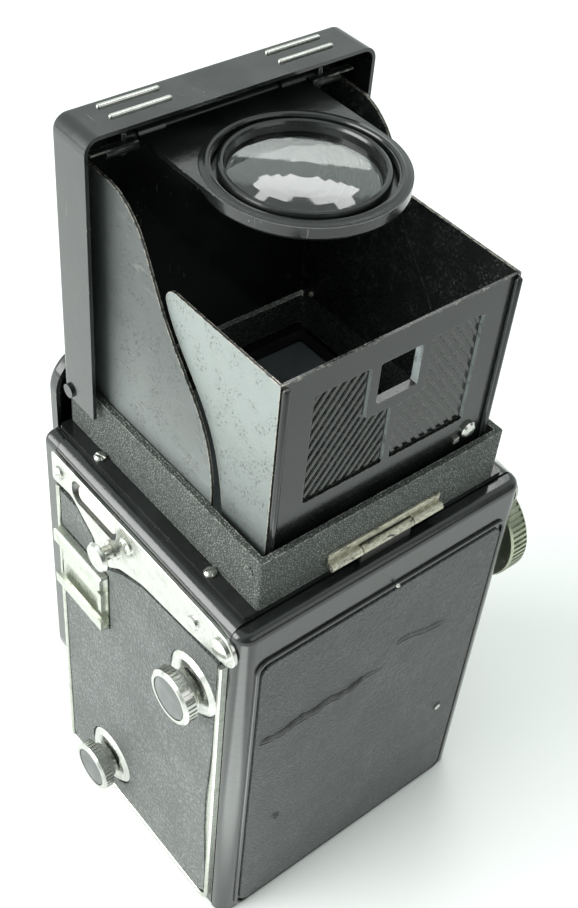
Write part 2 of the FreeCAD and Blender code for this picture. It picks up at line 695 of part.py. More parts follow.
def focus_rack():
    """A toothed bar above the pinion; its gaps are wider than the pinion's teeth."""
    owner = body()
    pitch_line = d.focus_z + d.pitch_r
    low, floor, top = pitch_line - 0.5, pitch_line + 0.8, pitch_line + 3.0
    start, end = d.panel_front + d.panel_skin, -14.0
    gap = 0.75
    points = [(start, low)]
    first = math.ceil((start - d.focus_y + 1.2) / PITCH)
    last = math.floor((end - d.focus_y - 0.9) / PITCH)
    for i in range(first, last + 1):
        middle = d.focus_y + i * PITCH
        points += [(middle - gap, low), (middle - gap, floor), (middle + gap, floor),
                   (middle + gap, low)]
    points += [(end, low), (end, top), (start, top)]
    pad(owner, "yz", f"{GEAR_LOW}", f"{GEAR_HIGH}", outline(points))
    guide = box((f"{-GEAR_HIGH}", f"{start}", f"{low + 0.5}"), (f"{-GEAR_LOW}", "-16", f"{top}"))
    return group(owner, guide)


# ---------------------------------------------------------------- lens panel and shutter


def lens_panel():
    owner = body()
    half, low, top, r = d.panel_half, d.panel_low, d.panel_top, d.panel_corner
    skin = d.panel_skin
    pad(owner, "xz", "panel_front", "panel_back", rectangle(-half, low, half, top, r))
    owner = fillet_body(owner, 1.6, lambda b: near(b.YMax, d.panel_front))
    pocket(owner, "xz", "panel_front + panel_skin", "panel_back",
           rectangle(-half + skin, low + skin, half - skin, top - skin, r - skin))
    skirt_top = d.band_top - 1.2
    pad(owner, "xz", "panel_back - 0.5", "front_y - 0.4",
        outline([(-half, low, r), (half, low, r), (half, skirt_top), (half - skin, skirt_top),
                 (half - skin, low + skin, r - skin), (-half + skin, low + skin, r - skin),
                 (-half + skin, skirt_top), (-half, skirt_top)]))
    for axis, radius in (("view_axis", d.view_tube), ("take_axis", d.take_tube)):
        height = getattr(d, axis)
        outer = radius + d.tube_skin
        pad(owner, "xz", "panel_front + panel_skin", "tube_end", circle(0, height, outer))
        pocket(owner, "xz", "panel_front - 1", "tube_end", circle(0, height, radius - 1.0))
    return owner


def barrel(height, rings, bore):
    points = [(rings[0][0], bore)]
    points += rings
    points += [(rings[-1][0], bore)]
    return turned("y", ("0", height), points)


def viewing_barrel():
    front = d.panel_front
    return barrel("view_axis", [(front, 17.0), (front - 3, 17.0), (front - 3.6, 16.2),
                                (front - 8, 16.2), (front - 8.4, 15.4), (front - 12.6, 15.4),
                                (front - 13.2, 16.0), (front - 14.8, 16.0)], 12.6)


def taking_barrel():
    front = d.panel_front - 12.6
    return barrel("take_axis", [(front + 5, 13.2), (front - 0.4, 13.2), (front - 0.4, 14.6),
                                (front - 3.4, 14.6), (front - 3.8, 13.9), (front - 6.4, 13.9)], 10.6)


def lens(height, low, high, radius, bulge):
    """A glass with one domed face towards the front."""
    reach = (radius ** 2 + bulge ** 2) / (2 * bulge)
    steps = [math.asin(radius / reach) * i / 6 for i in range(7)]
    dome = [(low + reach - reach * math.cos(a), reach * math.sin(a)) for a in steps]
    dome[0] = (low, 0)
    return turned("y", ("0", height), dome + [(high, radius), (high, 0)])


def lens_glasses():
    front = d.panel_front
    return group(lens("view_axis", front - 11.0, front - 6.0, 12.6, 2.2),
                 lens("take_axis", front - 16.8, front - 12.0, 10.6, 1.8))


def shutter_housing():
    """The shutter's drum: grooves hold the levers' rings, and a lip holds the speed ring."""
    front = d.panel_front
    grooves = [(front - 0.6, front - 2.6), (front - 3.4, front - 5.4), (front - 6.2, front - 8.2)]
    points = [(front, 13.4), (front, 18.2)]
    for high, low in grooves:
        points += [(high, 18.2), (high, 15.9), (low, 15.9), (low, 18.2)]
    points += [(front - 8.8, 18.2), (front - 8.8, 16.4), (front - 12.2, 16.4), (front - 12.2, 17.2),
               (front - 12.6, 17.0), (front - 12.6, 13.4)]
    return turned("y", ("0", "take_axis"), points)


def lever(groove, angle, reach, width):
    """A ring in one of the shutter's grooves with a finger tab, at an angle from straight up."""
    high = d.panel_front - 0.7 - 2.8 * groove
    low = high - 1.8
    owner = body()
    tab = outline([(-width / 2, 15.0), (width / 2, 15.0), (width / 2, reach, 0.8),
                   (-width / 2, reach, 0.8)])
    ring = turned("y", ("0", "0"), [(low, 16.0), (high, 16.0), (high, 18.2), (low, 18.2)])
    pad(owner, "xz", f"{low + 0.3}", f"{high - 0.3}", tab)
    bore = rod("y", ("0", "0"), f"{low - 1}", f"{high + 1}", "16")
    whole = cut(fuse(ring, owner), bore)
    turned_lever = doc.addObject("Part::Compound", "Lever")
    turned_lever.Links = [whole]
    turned_lever.Placement = FreeCAD.Placement(Vector(0, 0, 0), Rotation(Vector(0, 1, 0), angle))
    turned_lever.setExpression("Placement.Base.z", linked("take_axis"))
    return turned_lever


def speed_ring():
    front = d.panel_front
    ring = turned("y", ("0", "take_axis"), [(front - 9.0, 16.5), (front - 9.0, 18.8),
                                            (front - 11.9, 18.8), (front - 11.9, 16.5)])
    notches = []
    for i in range(30):
        notch = Part.makeBox(1.2, 1.8, 1.2, Vector(-0.6, front - 11.4, 18.4))
        notch.rotate(Vector(0, 0, 0), Vector(0, 1, 0), 12.0 * i)
        notches.append(notch)
    cutter = doc.addObject("Part::Feature", "Ring_notches")
    cutter.Shape = Part.makeCompound(notches)
    cutter.Placement = FreeCAD.Placement(Vector(0, 0, d.take_axis), Rotation())
    return cut(ring, cutter)


# ---------------------------------------------------------------- back door


DOOR_LOW = 0.6


def back_door():
    """A shallow tray that closes the whole back, with a raised bead round its leather."""
    low, high = DOOR_LOW, d.body_height - 0.4
    block = box(("-body_width/2", "shell_end + door_gap", f"{low}"),
                ("body_width/2", "back_y", f"{high}"))
    block = rounded(block, d.corner - 0.5, lambda b: near(b.YMin, d.back_y) and b.ZLength > 50)
    block = rounded(block, 2.0, lambda b: near(b.ZMin, high) and near(b.YMin, d.back_y)
                    and b.XLength > 50)
    inside = box(("-body_width/2 + 1.2", "shell_end - 1", f"{low} + 1.2"),
                 ("body_width/2 - 1.2", "back_y - 1.2", f"{high} - 1.2"))
    half, top, width = 34.8, 98.6, 0.9
    bead = pad(body(), "xz", "back_y - 0.2", "back_y + 0.6", rectangle(-half, 1.2, half, top, 3.0),
               rectangle(-half + width, 1.2 + width, half - width, top - width, 2.2))
    bead = fillet_body(bead, 0.3, lambda b: near(b.YMin, d.back_y + 0.6))
    slot = box(("-4.2", "back_y - 3.2", f"{low - 1}"), ("4.2", "back_y - 1.4", f"{low + 1.3}"))
    return cut(fuse(cut(block, inside), bead), slot)


def door_leather():
    """The back's leather, with two bumps where it covers the pressure plate's rivets."""
    owner = body()
    face = d.back_y + d.leather
    pad(owner, "xz", "back_y", "back_y + leather", rectangle(-33.4, 2.6, 33.4, 96.8, 2.8))
    owner = fillet_body(owner, 0.3, lambda b: near(b.YMin, face))
    bumps = [turned("y", (f"{x}", "34.4"), [(face - 0.3, 0), (face - 0.3, 1.5), (face + 0.1, 1.3),
                                            (face + 0.3, 0.8), (face + 0.35, 0)])
             for x in (-26.6, 25.0)]
    return fuse(owner, *bumps)


def pressure_plate():
    owner = body()
    low, high = 16.0, 70.4
    pad(owner, "xz", "gate_back + 0.35", "gate_back + 1.15", rectangle(-30, low, 30, high, 2.0))
    return owner


def pressure_spring():
    owner = body()
    near_y, far_y = d.gate_back + 1.15, d.back_y - 1.2
    return pad(owner, "yz", "-3", "3",
               outline([(near_y, 28), (near_y + 0.35, 28), (far_y, 40), (far_y, 46),
                        (near_y + 0.35, 58), (near_y, 58), (far_y - 0.35, 46),
                        (far_y - 0.35, 40)]))


def door_latch():
    """A sliding catch above the door's lower edge; its finger ridge shows from underneath."""
    floor = DOOR_LOW + 1.25
    plate = box(("-7", "back_y - 3.4", f"{floor}"), ("7", "back_y - 1.3", f"{floor + 0.9}"))
    ridge = box(("-2.4", "back_y - 2.9", "0.15"), ("2.4", "back_y - 1.7", f"{floor + 0.5}"))
    return fuse(plate, ridge)


LEAF_TOP = 114.4


def body_hinge():
    """The body's half of the door hinge: a leaf on the hood frame's back and two knuckles."""
    half, gap, wall = 15.0, 7.0, "frame_back + 0.02"
    leaf = box((f"{-half}", wall, "knuckle_z"), (f"{half}", "frame_back + 0.45", f"{LEAF_TOP}"))
    parts = [leaf]
    for low, high in ((-half, -gap), (gap, half)):
        parts.append(rod("x", ("knuckle_y", "knuckle_z"), f"{low}", f"{high}", "knuckle_r"))
        parts.append(box((f"{low}", wall, "knuckle_z - 0.3"), (f"{high}", "knuckle_y", "knuckle_z + 0.9")))
    clearance = box((f"{-gap}", "frame_back - 1", "knuckle_z - 3"),
                    (f"{gap}", "frame_back + 3", "knuckle_z + 1.25"))
    return cut(fuse(*parts), clearance, knuckle_bore())


def door_hinge_half():
    """The door's knuckle and the strip of sheet that carries it up from the door's top."""
    half = 6.8
    strip = box((f"{-half}", "knuckle_y - 0.45", "body_height - 0.4"),
                (f"{half}", "knuckle_y + 0.3", "knuckle_z"))
    barrel = rod("x", ("knuckle_y", "knuckle_z"), f"{-half}", f"{half}", "knuckle_r")
    return cut(fuse(strip, barrel), knuckle_bore())


def knuckle_bore():
    return rod("x", ("knuckle_y", "knuckle_z"), "-20", "20", "0.5")


# ---------------------------------------------------------------- hood


def hood_flange_plate():
    owner = body()
    half = 35.0
    pad(owner, "xy", "body_height", "plate_top",
        rectangle(-half, d.frame_front, half, d.frame_back, 0.8),
        rectangle(-30.6, d.hood_front, 30.6, d.hood_back, 1.0))
    return owner


def hood_frame():
    owner = body()
    half, wall = d.frame_half, d.frame_wall
    front, back = d.frame_front, d.frame_back
    pad(owner, "xy", "plate_top", "frame_top", rectangle(-half, front, half, back, 0.6),
        rectangle(-half + wall, front + wall, half - wall, back - wall, 0.4))
    pocket(owner, "xz", "frame_front - 1", "lid_hinge_y",
           rectangle(-half - 1, 117.0, half + 1, d.frame_top + 1))
    ear = lid_ear()
    return cut(fuse(owner, ear, mirrored(ear)),
               rod("x", ("rear_y - 0.4", "rear_hinge_z"), "-40", "40", "pivot_bore"),
               rod("x", ("lid_hinge_y", "lid_hinge_z"), "-40", "40", "lid_pin_r + 0.05"))


def lid_ear():
    """A lug on the hood frame's front corner, round about the lid's pin."""
    inner, outer = "frame_half - frame_wall", "frame_half"
    low = box((inner, "lid_hinge_y - 1.55", "116"), (outer, "lid_hinge_y + 3", "lid_hinge_z"))
    back = box((inner, "lid_hinge_y", "lid_hinge_z"), (outer, "lid_hinge_y + 3", "frame_top"))
    return fuse(low, back, rod("x", ("lid_hinge_y", "lid_hinge_z"), inner, outer, "1.55"))


def frame_screws():
    heads = [slotted_head("z", ("33.6", f"{y}"), d.plate_top, 1.1, 1.35, angle)
             for y, angle in ((-23.1, 25), (15.9, 60))]
    return group(*heads, *[mirrored(h) for h in heads])


def hood_lid():
    owner = body()
    half, low, top, skin = d.lid_half, d.lid_low, d.lid_top, d.lid_skin
    pad(owner, "xz", "lid_face", "lid_rim",
        outline([(-half, low), (half, low), (half, top, 3.2), (-half, top, 3.2)]))
    owner = fillet_body(owner, 1.4, lambda b: near(b.YMax, d.lid_face) and not near(b.ZMax, low))
    pocket(owner, "xz", "lid_face + lid_skin", "lid_rim",
           outline([(-half + skin, low - 1), (half - skin, low - 1),
                    (half - skin, top - skin, 2.4), (-half + skin, top - skin, 2.4)]))
    return cut(owner, rod("x", ("lid_hinge_y", "lid_hinge_z"), "-40", "40", "lid_pin_r"))


def lid_strips():
    """Half-round metal strips on the lid's top edge."""
    width, rise = 1.1, 0.5
    strips = []
    for y in (-32.8, -28.8):
        strip = pad(body(), "xy", "lid_top", f"lid_top + {rise}",
                    rectangle(12.4, y - width / 2, 26.0, y + width / 2, width / 2 - 0.01))
        strip = fillet_body(strip, 0.35, lambda b: near(b.ZMin, d.lid_top + rise))
        strips += [strip, mirrored(strip)]
    return group(*strips)


def lid_wing():
    """A sheet with a flowing back edge on the lid's left side, and the flange that holds it."""
    flank = d.lid_face + d.lid_skin
    edge = [(10.6, d.wing_low), (10.0, 131.0), (7.2, 139.2), (1.8, 146.9), (-4.4, 154.9),
            (-9.6, 164.0), (-13.6, 170.8), (-18.2, 174.7), (-24.5, 176.2)]
    owner = pad(body(), "yz", "wing_x", "wing_x + wing_skin",
                [curve(edge), *chain([edge[-1], (flank, 176.4), (flank, d.wing_low), edge[0]])])
    return pad(owner, "xz", "lid_face + lid_skin", "lid_face + lid_skin + 0.6",
               rectangle(d.wing_x + 0.3, 124.0, d.lid_half - d.lid_skin - 0.2, 175.0))


def magnifier_rod():
    """The magnifier's hinge rod with an end plate at each side of the lid."""
    centre = ("loupe_hinge_y", "loupe_z")
    bar = rod("x", centre, "-23.6", "23.6", "0.9")
    ears = [box((f"{low}", "lid_face + lid_skin", "loupe_z - 2.2"),
                (f"{low} + 0.9", "loupe_hinge_y + 1.8", "loupe_z + 2.2")) for low in (-23.6, 22.7)]
    return fuse(bar, *ears)


def pressed_outline(grow):
    """The stepped outline of the panel pressed in beside the sight hole, grown all round."""
    low, step, high = 129.6 - grow, 144.0 + grow, 156.5 + grow
    inner, shoulder, outer = 0.8 - grow, 7.4 - grow, 20.8 + grow
    turn = 0.9
    return outline([(outer, high, turn), (shoulder, high, turn), (shoulder, step, turn),
                    (inner, step, turn), (inner, low, turn), (outer, low, turn)])


def pressed_ribs():
    """Fine slanting ribs on the floor of the pressed panel, cut off short of its walls."""
    floor, rise, width, pitch, slope = d.rear_y - 0.85, 0.35, 0.7, 1.8, 37.0
    bars = []
    for i in range(-9, 10):
        bar = Part.makeBox(width, rise, 60, Vector(i * pitch - width / 2, 0, -30))
        bar.rotate(Vector(0, 0, 0), Vector(0, 1, 0), -slope)
        bars.append(bar)
    slanting = doc.addObject("Part::Feature", "Slanting_bars")
    slanting.Shape = Part.makeCompound(bars)
    slanting.Placement = FreeCAD.Placement(Vector(10.8, floor, 143.0), Rotation())
    field = pad(body(), "xz", f"{floor - 0.1}", f"{floor + rise + 0.1}", pressed_outline(-0.6))
    ribs = doc.addObject("Part::MultiCommon", "Ribs")
    ribs.Shapes = [field, slanting]
    return ribs


def rear_panel():
    """Sheet with a flanged sight hole and a ribbed panel pressed in on each side of it."""
    low, top = d.rear_hinge_z + 0.9, d.rear_top
    window = rectangle(-d.sight_half, d.sight_low, d.sight_half, d.sight_top, 0.5)
    sheet_metal = pad(body(), "xz", "rear_y - 0.6", "rear_y",
                      outline([(-d.rear_wing_x, low), (d.rear_wing_x, low), (d.rear_wing_x, top, 0.4),
                               (-d.rear_wing_x, top, 0.4)]), window)
    flange = pad(body(), "xz", "rear_y - 1.8", "rear_y - 0.3",
                 rectangle(-d.sight_half - 0.5, d.sight_low - 0.5, d.sight_half + 0.5,
                           d.sight_top + 0.5, 0.9), window)
    bulge = pad(body(), "xz", "rear_y - 1.3", "rear_y - 0.3", pressed_outline(0.5))
    hollow = pad(body(), "xz", "rear_y - 0.8", "rear_y + 1", pressed_outline(0))
    roll = rod("x", ("rear_y - 0.4", "rear_hinge_z"), "-rear_wing_x", "rear_wing_x", "1.3")
    bore = rod("x", ("rear_y - 0.4", "rear_hinge_z"), "-40", "40", "0.6")
    ribs = pressed_ribs()
    pressed = cut(fuse(sheet_metal, flange, bulge, mirrored(bulge), roll), hollow, mirrored(hollow),
                  bore)
    return fuse(pressed, ribs, mirrored(ribs))


def rear_wing():
    """Sheet on the rear panel's left side, narrower than the front wing that covers it."""
    back, foot, top = d.rear_y, d.rear_hinge_z - 1.2, d.rear_top
    edge = [(-6.8, 159.8), (-5.0, 156.0), (-1.4, 151.0), (5.2, 143.0), (9.4, 135.0), (11.8, 126.0),
            (13.0, foot)]
    corner = Part.Arc(Vector(-3.6, top, 0), Vector(-6.0, 161.8, 0), Vector(*edge[0], 0))
    loop = [curve(edge), *chain([edge[-1], (back, foot), (back, top), (-3.6, top)]), corner]
    owner = pad(body(), "yz", "rear_wing_x", "rear_wing_x + wing_skin", loop)
    return pocket(owner, "yz", "rear_wing_x - 1", "rear_wing_x + 2",
                  circle(d.rear_y - 0.4, d.rear_hinge_z, d.pivot_r))


def rear_stud():
    face = d.rear_y
    button = turned("y", ("-23.1", "125.7"), [(face, 0), (face, 1.9), (face + 0.6, 1.9),
                                              (face + 1.0, 1.4), (face + 1.1, 0)])
    catch = box(("-20.4", f"{face}", "124.0"), ("-18.9", f"{face} + 0.8", "125.4"))
    return group(button, catch)


def magnifier_frame():
    """A flat frame with a stepped ring round the glass and two arms to its hinge."""
    owner = body()
    y, z, r = d.loupe_y, d.loupe_z, d.loupe_r
    tail = d.loupe_hinge_y + 1.5
    arms = [Part.Arc(Vector(r, y, 0), Vector(0, y + r, 0), Vector(-r, y, 0)),
            Part.LineSegment(Vector(-r, y, 0), Vector(-r, tail, 0)),
            Part.LineSegment(Vector(-r, tail, 0), Vector(r, tail, 0)),
            Part.LineSegment(Vector(r, tail, 0), Vector(r, y, 0))]
    pad(owner, "xy", "loupe_z - 0.5", "loupe_z + 0.5", arms, circle(0, y, r - 2.6))
    ring = turned("z", ("0", "loupe_y"),
                  [(z - 0.5, r - 2.5), (z + 0.2, r - 2.5), (z + 0.75, r - 2.2), (z + 0.95, r - 1.7),
                   (z + 0.75, r - 1.2), (z + 0.6, r - 0.5), (z + 0.3, r - 0.1), (z, r), (z - 1.5, r),
                   (z - 1.9, r - 0.15), (z - 2.2, r - 0.5), (z - 2.2, r - 1.0), (z - 0.9, r - 1.2),
                   (z - 0.9, r - 2.5)])
    inner = d.glass_r
    seat = turned("z", ("0", "loupe_y"),
                  [(z - 3.2, inner - 0.6), (z - 2.8, inner - 0.6), (z - 2.8, inner), (z + 0.3, inner),
                   (z + 0.8, inner + 0.25), (z + 1.0, inner + 0.7), (z + 0.8, inner + 1.15),
                   (z + 0.2, inner + 1.4), (z - 1.6, inner + 1.4), (z - 1.6, r - 1.6),
                   (z - 2.1, r - 1.6), (z - 2.1, inner + 1.5), (z - 3.2, inner + 1.5)])
    eyes = [rod("x", ("loupe_hinge_y", "loupe_z"), f"{low}", f"{high}", "1.7")
            for low, high in ((-r, -r + 6), (r - 6, r))]
    bore = rod("x", ("loupe_hinge_y", "loupe_z"), "-30", "30", "0.96")
    return cut(fuse(owner, ring, seat, *eyes), bore)


def magnifier_lens():
    z, r = d.loupe_z, d.glass_r
    bulge = 1.6
    reach = (r ** 2 + bulge ** 2) / (2 * bulge)
    top = [(z - 1.2 + bulge - reach + reach * math.cos(a), reach * math.sin(a))
           for a in [math.asin(r / reach) * i / 8 for i in range(9)]]
    top[0] = (z - 1.2 + bulge, 0)
    return turned("z", ("0", "loupe_y"), top + [(z - 2.8, r), (z - 2.8, 0)])


# ---------------------------------------------------------------- the assembly

node("body_shell", body_shell())
node("base_plate", base_plate())
node("front_band", front_band())
node("tripod_bush", tripod_bush())
node("dark_chamber", dark_chamber())
node("film_roller", film_roller())
node("mirror_box", mirror_box())
node("finder_mirror", mirror())
node("screen_frame", screen_frame())
node("focusing_screen", focusing_screen())

node("side_leather", side_leather())
node("side_trim", side_trim())
node("strap_plates", both_sides(strap_plate()))
node("strap_inlays", both_sides(strap_inlay()))
node("strap_studs", both_sides(strap_stud()))
node("screws", group(strap_screws(), frame_screws()))
node("accessory_shoe", accessory_shoe())
node("shoe_spring", shoe_spring())

node("knob_flanges", group(*left_flanges(), *right_flanges()))
node("spool_knob_upper", spool_knob(d.spool_y, d.spool_z))
node("knob_inlay_upper", knob_inlay(d.spool_y, d.spool_z))
node("spool_knob_lower", spool_knob(d.supply_y, d.supply_z))
node("knob_inlay_lower", knob_inlay(d.supply_y, d.supply_z))
node("wind_knob", wind_knob())
node("wind_shaft", wind_shaft())
node("take_up_spool", film_spool("spool_y", "spool_z"))
node("supply_spool", film_spool("supply_y", "supply_z"))

node("focus_knob", focus_knob())
node("focus_pinion", focus_pinion())
node("focus_rack", focus_rack())
node("lens_panel", lens_panel())
node("viewing_barrel", viewing_barrel())
node("taking_barrel", taking_barrel())
node("lens_glasses", lens_glasses())
node("shutter_housing", shutter_housing())
node("aperture_lever", lever(0, 120, 22.5, 3.2))
node("cocking_lever", lever(1, -50, 24.5, 3.6))
node("release_lever", lever(2, -115, 23.0, 3.0))
node("speed_ring", speed_ring())

node("back_door", back_door())
node("door_leather", door_leather())
node("pressure_plate", pressure_plate())
node("pressure_spring", pressure_spring())
node("door_latch", door_latch())
node("door_knuckle", door_hinge_half())
node("body_knuckles", body_hinge())
node("door_hinge_pin", rod("x", ("knuckle_y", "knuckle_z"), "-15.2", "15.2", "0.46"))

node("hood_flange_plate", hood_flange_plate())
node("hood_frame", hood_frame())
node("hood_lid", hood_lid())
node("lid_strips", lid_strips())
node("lid_wings", both_sides(lid_wing()))
lid_pin = fuse(rod("x", ("lid_hinge_y", "lid_hinge_z"), "frame_half - frame_wall", "lid_half",
                   "lid_pin_r"),
               rod("x", ("lid_hinge_y", "lid_hinge_z"), "lid_half", "lid_half + 0.6", "1.6"))
node("lid_pins", both_sides(lid_pin))
node("magnifier_rod", magnifier_rod())
node("rear_panel", rear_panel())
node("rear_wings", both_sides(rear_wing()))
rear_pin = rod("x", ("rear_y - 0.4", "rear_hinge_z"), "rear_wing_x", "frame_half + 0.4", "pivot_r")
node("rear_pins", both_sides(rear_pin))
node("rear_stud", rear_stud())
node("magnifier_frame", magnifier_frame())
node("magnifier_lens", magnifier_lens())

# ---------------------------------------------------------------- tests and export

doc.recompute()
for thing in doc.Objects:
    if "Invalid" in thing.State or "Error" in thing.State:
        raise ValueError(f"{thing.Name} ({thing.Label}) did not build: {thing.State}")
if len(nodes) > 60:
    raise ValueError(f"{len(nodes)} nodes are too many")
for part in nodes:
    shape = part.Shape
    if shape.isNull() or not shape.isValid() or not shape.Solids:
        raise ValueError(f"{part.Label} has no valid solid")
    shape.exportStep(f"parts/{part.Label}.step")
    print(f"{part.Label}: {len(shape.Solids)} solids, {shape.Volume:.1f} mm3")
print(len(nodes), "nodes")
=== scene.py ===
"""Looks for the twin lens reflex camera: materials, small surface details, light and camera.

Everything is in metres in the row frame. +X is the user's left, -Y the lens side, +Z up.
"""

import math

import bmesh
import bpy
from mathutils import Matrix, Vector, noise


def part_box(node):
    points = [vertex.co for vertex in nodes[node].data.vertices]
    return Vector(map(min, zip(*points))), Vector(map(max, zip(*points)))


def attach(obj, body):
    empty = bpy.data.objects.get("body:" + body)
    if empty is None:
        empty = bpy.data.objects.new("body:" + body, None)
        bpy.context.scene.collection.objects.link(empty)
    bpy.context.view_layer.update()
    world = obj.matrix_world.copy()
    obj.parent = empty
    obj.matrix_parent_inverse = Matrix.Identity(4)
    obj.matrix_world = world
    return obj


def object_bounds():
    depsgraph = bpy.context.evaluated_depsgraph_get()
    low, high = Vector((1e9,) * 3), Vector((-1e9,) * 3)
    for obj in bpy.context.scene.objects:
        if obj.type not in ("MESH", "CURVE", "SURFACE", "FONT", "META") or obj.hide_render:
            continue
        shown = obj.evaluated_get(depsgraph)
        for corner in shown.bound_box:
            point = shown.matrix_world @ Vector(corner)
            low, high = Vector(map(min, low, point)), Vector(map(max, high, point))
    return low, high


MM = 0.001

# dust in scratches, and paint worn through to brownish or to bright metal
DUST = (0.32, 0.33, 0.31)
BROWN = (0.42, 0.34, 0.26)
BRIGHT = (0.62, 0.61, 0.56)

# lines on the object that the materials follow, in the row frame
# PANEL_STEPS_HALF and PANEL_STEPS_END bound the painted highlight on the rear panel's steps
PANEL_STEPS_HALF = 26.5 * MM
PANEL_STEPS_END = 27.5 * MM
PANEL_RIM_Z = 161.9 * MM
PANEL_RIM_TOP = 162.4 * MM
# WING_FOOT_Z and WING_TOP_Z bound the wings' painted sheen gradient
WING_FOOT_Z = 127 * MM
WING_TOP_Z = 165 * MM
BRASS_FOOT_Z = 110.2 * MM
BRASS_FOOT_TOP = 111.0 * MM

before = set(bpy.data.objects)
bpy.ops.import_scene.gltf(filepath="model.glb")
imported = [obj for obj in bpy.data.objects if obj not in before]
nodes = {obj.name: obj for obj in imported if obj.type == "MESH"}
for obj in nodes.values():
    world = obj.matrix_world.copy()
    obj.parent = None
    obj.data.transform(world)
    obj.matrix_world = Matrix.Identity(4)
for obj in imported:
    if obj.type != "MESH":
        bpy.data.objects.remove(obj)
cad_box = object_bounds()

# ------------------------------------------------------------------ node tree helper


class Tree:
    """Short calls that build one material."""

    def __init__(self, name):
        self.material = bpy.data.materials.new(name)
        self.material.use_nodes = True
        self.tree = self.material.node_tree
        self.tree.nodes.clear()
        self.output = self.add("ShaderNodeOutputMaterial")
        self.shader = self.add("ShaderNodeBsdfPrincipled")
        self.tree.links.new(self.shader.outputs[0], self.output.inputs[0])
        self.place = self.add("ShaderNodeTexCoord").outputs["Object"]
        self.axes = None

    def add(self, kind, **settings):
        made = self.tree.nodes.new(kind)
        for key, value in settings.items():
            setattr(made, key, value)
        return made

    def put(self, socket, value):
        if isinstance(value, bpy.types.NodeSocket):
            self.tree.links.new(value, socket)
        elif isinstance(value, tuple) and len(value) == 3 and socket.type == "RGBA":
            socket.default_value = (*value, 1)
        else:
            socket.default_value = value

    def set(self, **values):
        """Set or link the shader's own inputs; an underscore stands for a space."""
        for key, value in values.items():
            self.put(self.shader.inputs[key.replace("_", " ")], value)

    def math(self, operation, a, b=0.0, c=0.0, clamp=False):
        made = self.add("ShaderNodeMath", operation=operation, use_clamp=clamp)
        for socket, value in zip(made.inputs, (a, b, c)):
            self.put(socket, value)
        return made.outputs[0]

    def part(self, axis):
        """The place along one axis, in the object's frame."""
        if self.axes is None:
            split = self.add("ShaderNodeSeparateXYZ")
            self.put(split.inputs[0], self.place)
            self.axes = split.outputs
        return self.axes["xyz".index(axis)]

    def facing(self, axis):
        """The surface's own direction along one axis, in the object's frame."""
        geometry = self.add("ShaderNodeTexCoord").outputs["Normal"]
        split = self.add("ShaderNodeSeparateXYZ")
        self.put(split.inputs[0], geometry)
        return split.outputs["xyz".index(axis)]

    def stretched(self, scale):
        made = self.add("ShaderNodeMapping")
        self.put(made.inputs["Vector"], self.place)
        made.inputs["Scale"].default_value = scale
        return made.outputs[0]

    def noise(self, size, detail=3.0, rough=0.55, warp=0.0, stretch=None):
        """Soft noise with features of about that size in metres, from 0 to 1."""
        made = self.add("ShaderNodeTexNoise")
        self.put(made.inputs["Vector"], self.stretched(stretch) if stretch else self.place)
        made.inputs["Scale"].default_value = 1.0 / size
        made.inputs["Detail"].default_value = detail
        made.inputs["Roughness"].default_value = rough
        made.inputs["Distortion"].default_value = warp
        return made.outputs[0]

    def cells(self, size, feature, smooth=0.6):
        """Distance to the nearest cell's middle, or to its edge."""
        made = self.add("ShaderNodeTexVoronoi", feature=feature)
        self.put(made.inputs["Vector"], self.place)
        made.inputs["Scale"].default_value = 1.0 / size
        if feature == "SMOOTH_F1":
            made.inputs["Smoothness"].default_value = smooth
        return made.outputs[0]

    def step(self, value, low, high, start=0.0, end=1.0):
        """From start to end, smoothly, as the value goes from low to high."""
        made = self.add("ShaderNodeMapRange", interpolation_type="SMOOTHSTEP")
        for socket, number in zip(made.inputs, (value, low, high, start, end)):
            self.put(socket, number)
        return made.outputs[0]

    def mix(self, factor, a, b):
        """A blend of two colours."""
        made = self.add("ShaderNodeMix", data_type="RGBA")
        self.put(made.inputs["Factor"], factor)
        self.put(made.inputs[6], a)
        self.put(made.inputs[7], b)
        return made.outputs[2]

    def blend(self, factor, a, b):
        """A blend of two numbers."""
        made = self.add("ShaderNodeMix", data_type="FLOAT")
        self.put(made.inputs[0], factor)
        self.put(made.inputs[2], a)
        self.put(made.inputs[3], b)
        return made.outputs[0]

    def bump(self, height, distance, strength=1.0, under=None):
        made = self.add("ShaderNodeBump")
        made.inputs["Strength"].default_value = strength
        made.inputs["Distance"].default_value = distance
        self.put(made.inputs["Height"], height)
        if under is not None:
            self.put(made.inputs["Normal"], under)
        return made.outputs[0]

    def edges(self, radius):
        """1 on sharp edges and corners, 0 on flat surfaces."""
        sharp, full = 0.02, 0.12
        soft = self.add("ShaderNodeBevel", samples=6)
        soft.inputs["Radius"].default_value = radius
        true = self.add("ShaderNodeNewGeometry").outputs["Normal"]
        dot = self.add("ShaderNodeVectorMath", operation="DOT_PRODUCT")
        self.put(dot.inputs[0], soft.outputs[0])
        self.put(dot.inputs[1], true)
        return self.step(self.math("SUBTRACT", 1.0, dot.outputs["Value"]), sharp, full)


# ------------------------------------------------------------------ materials


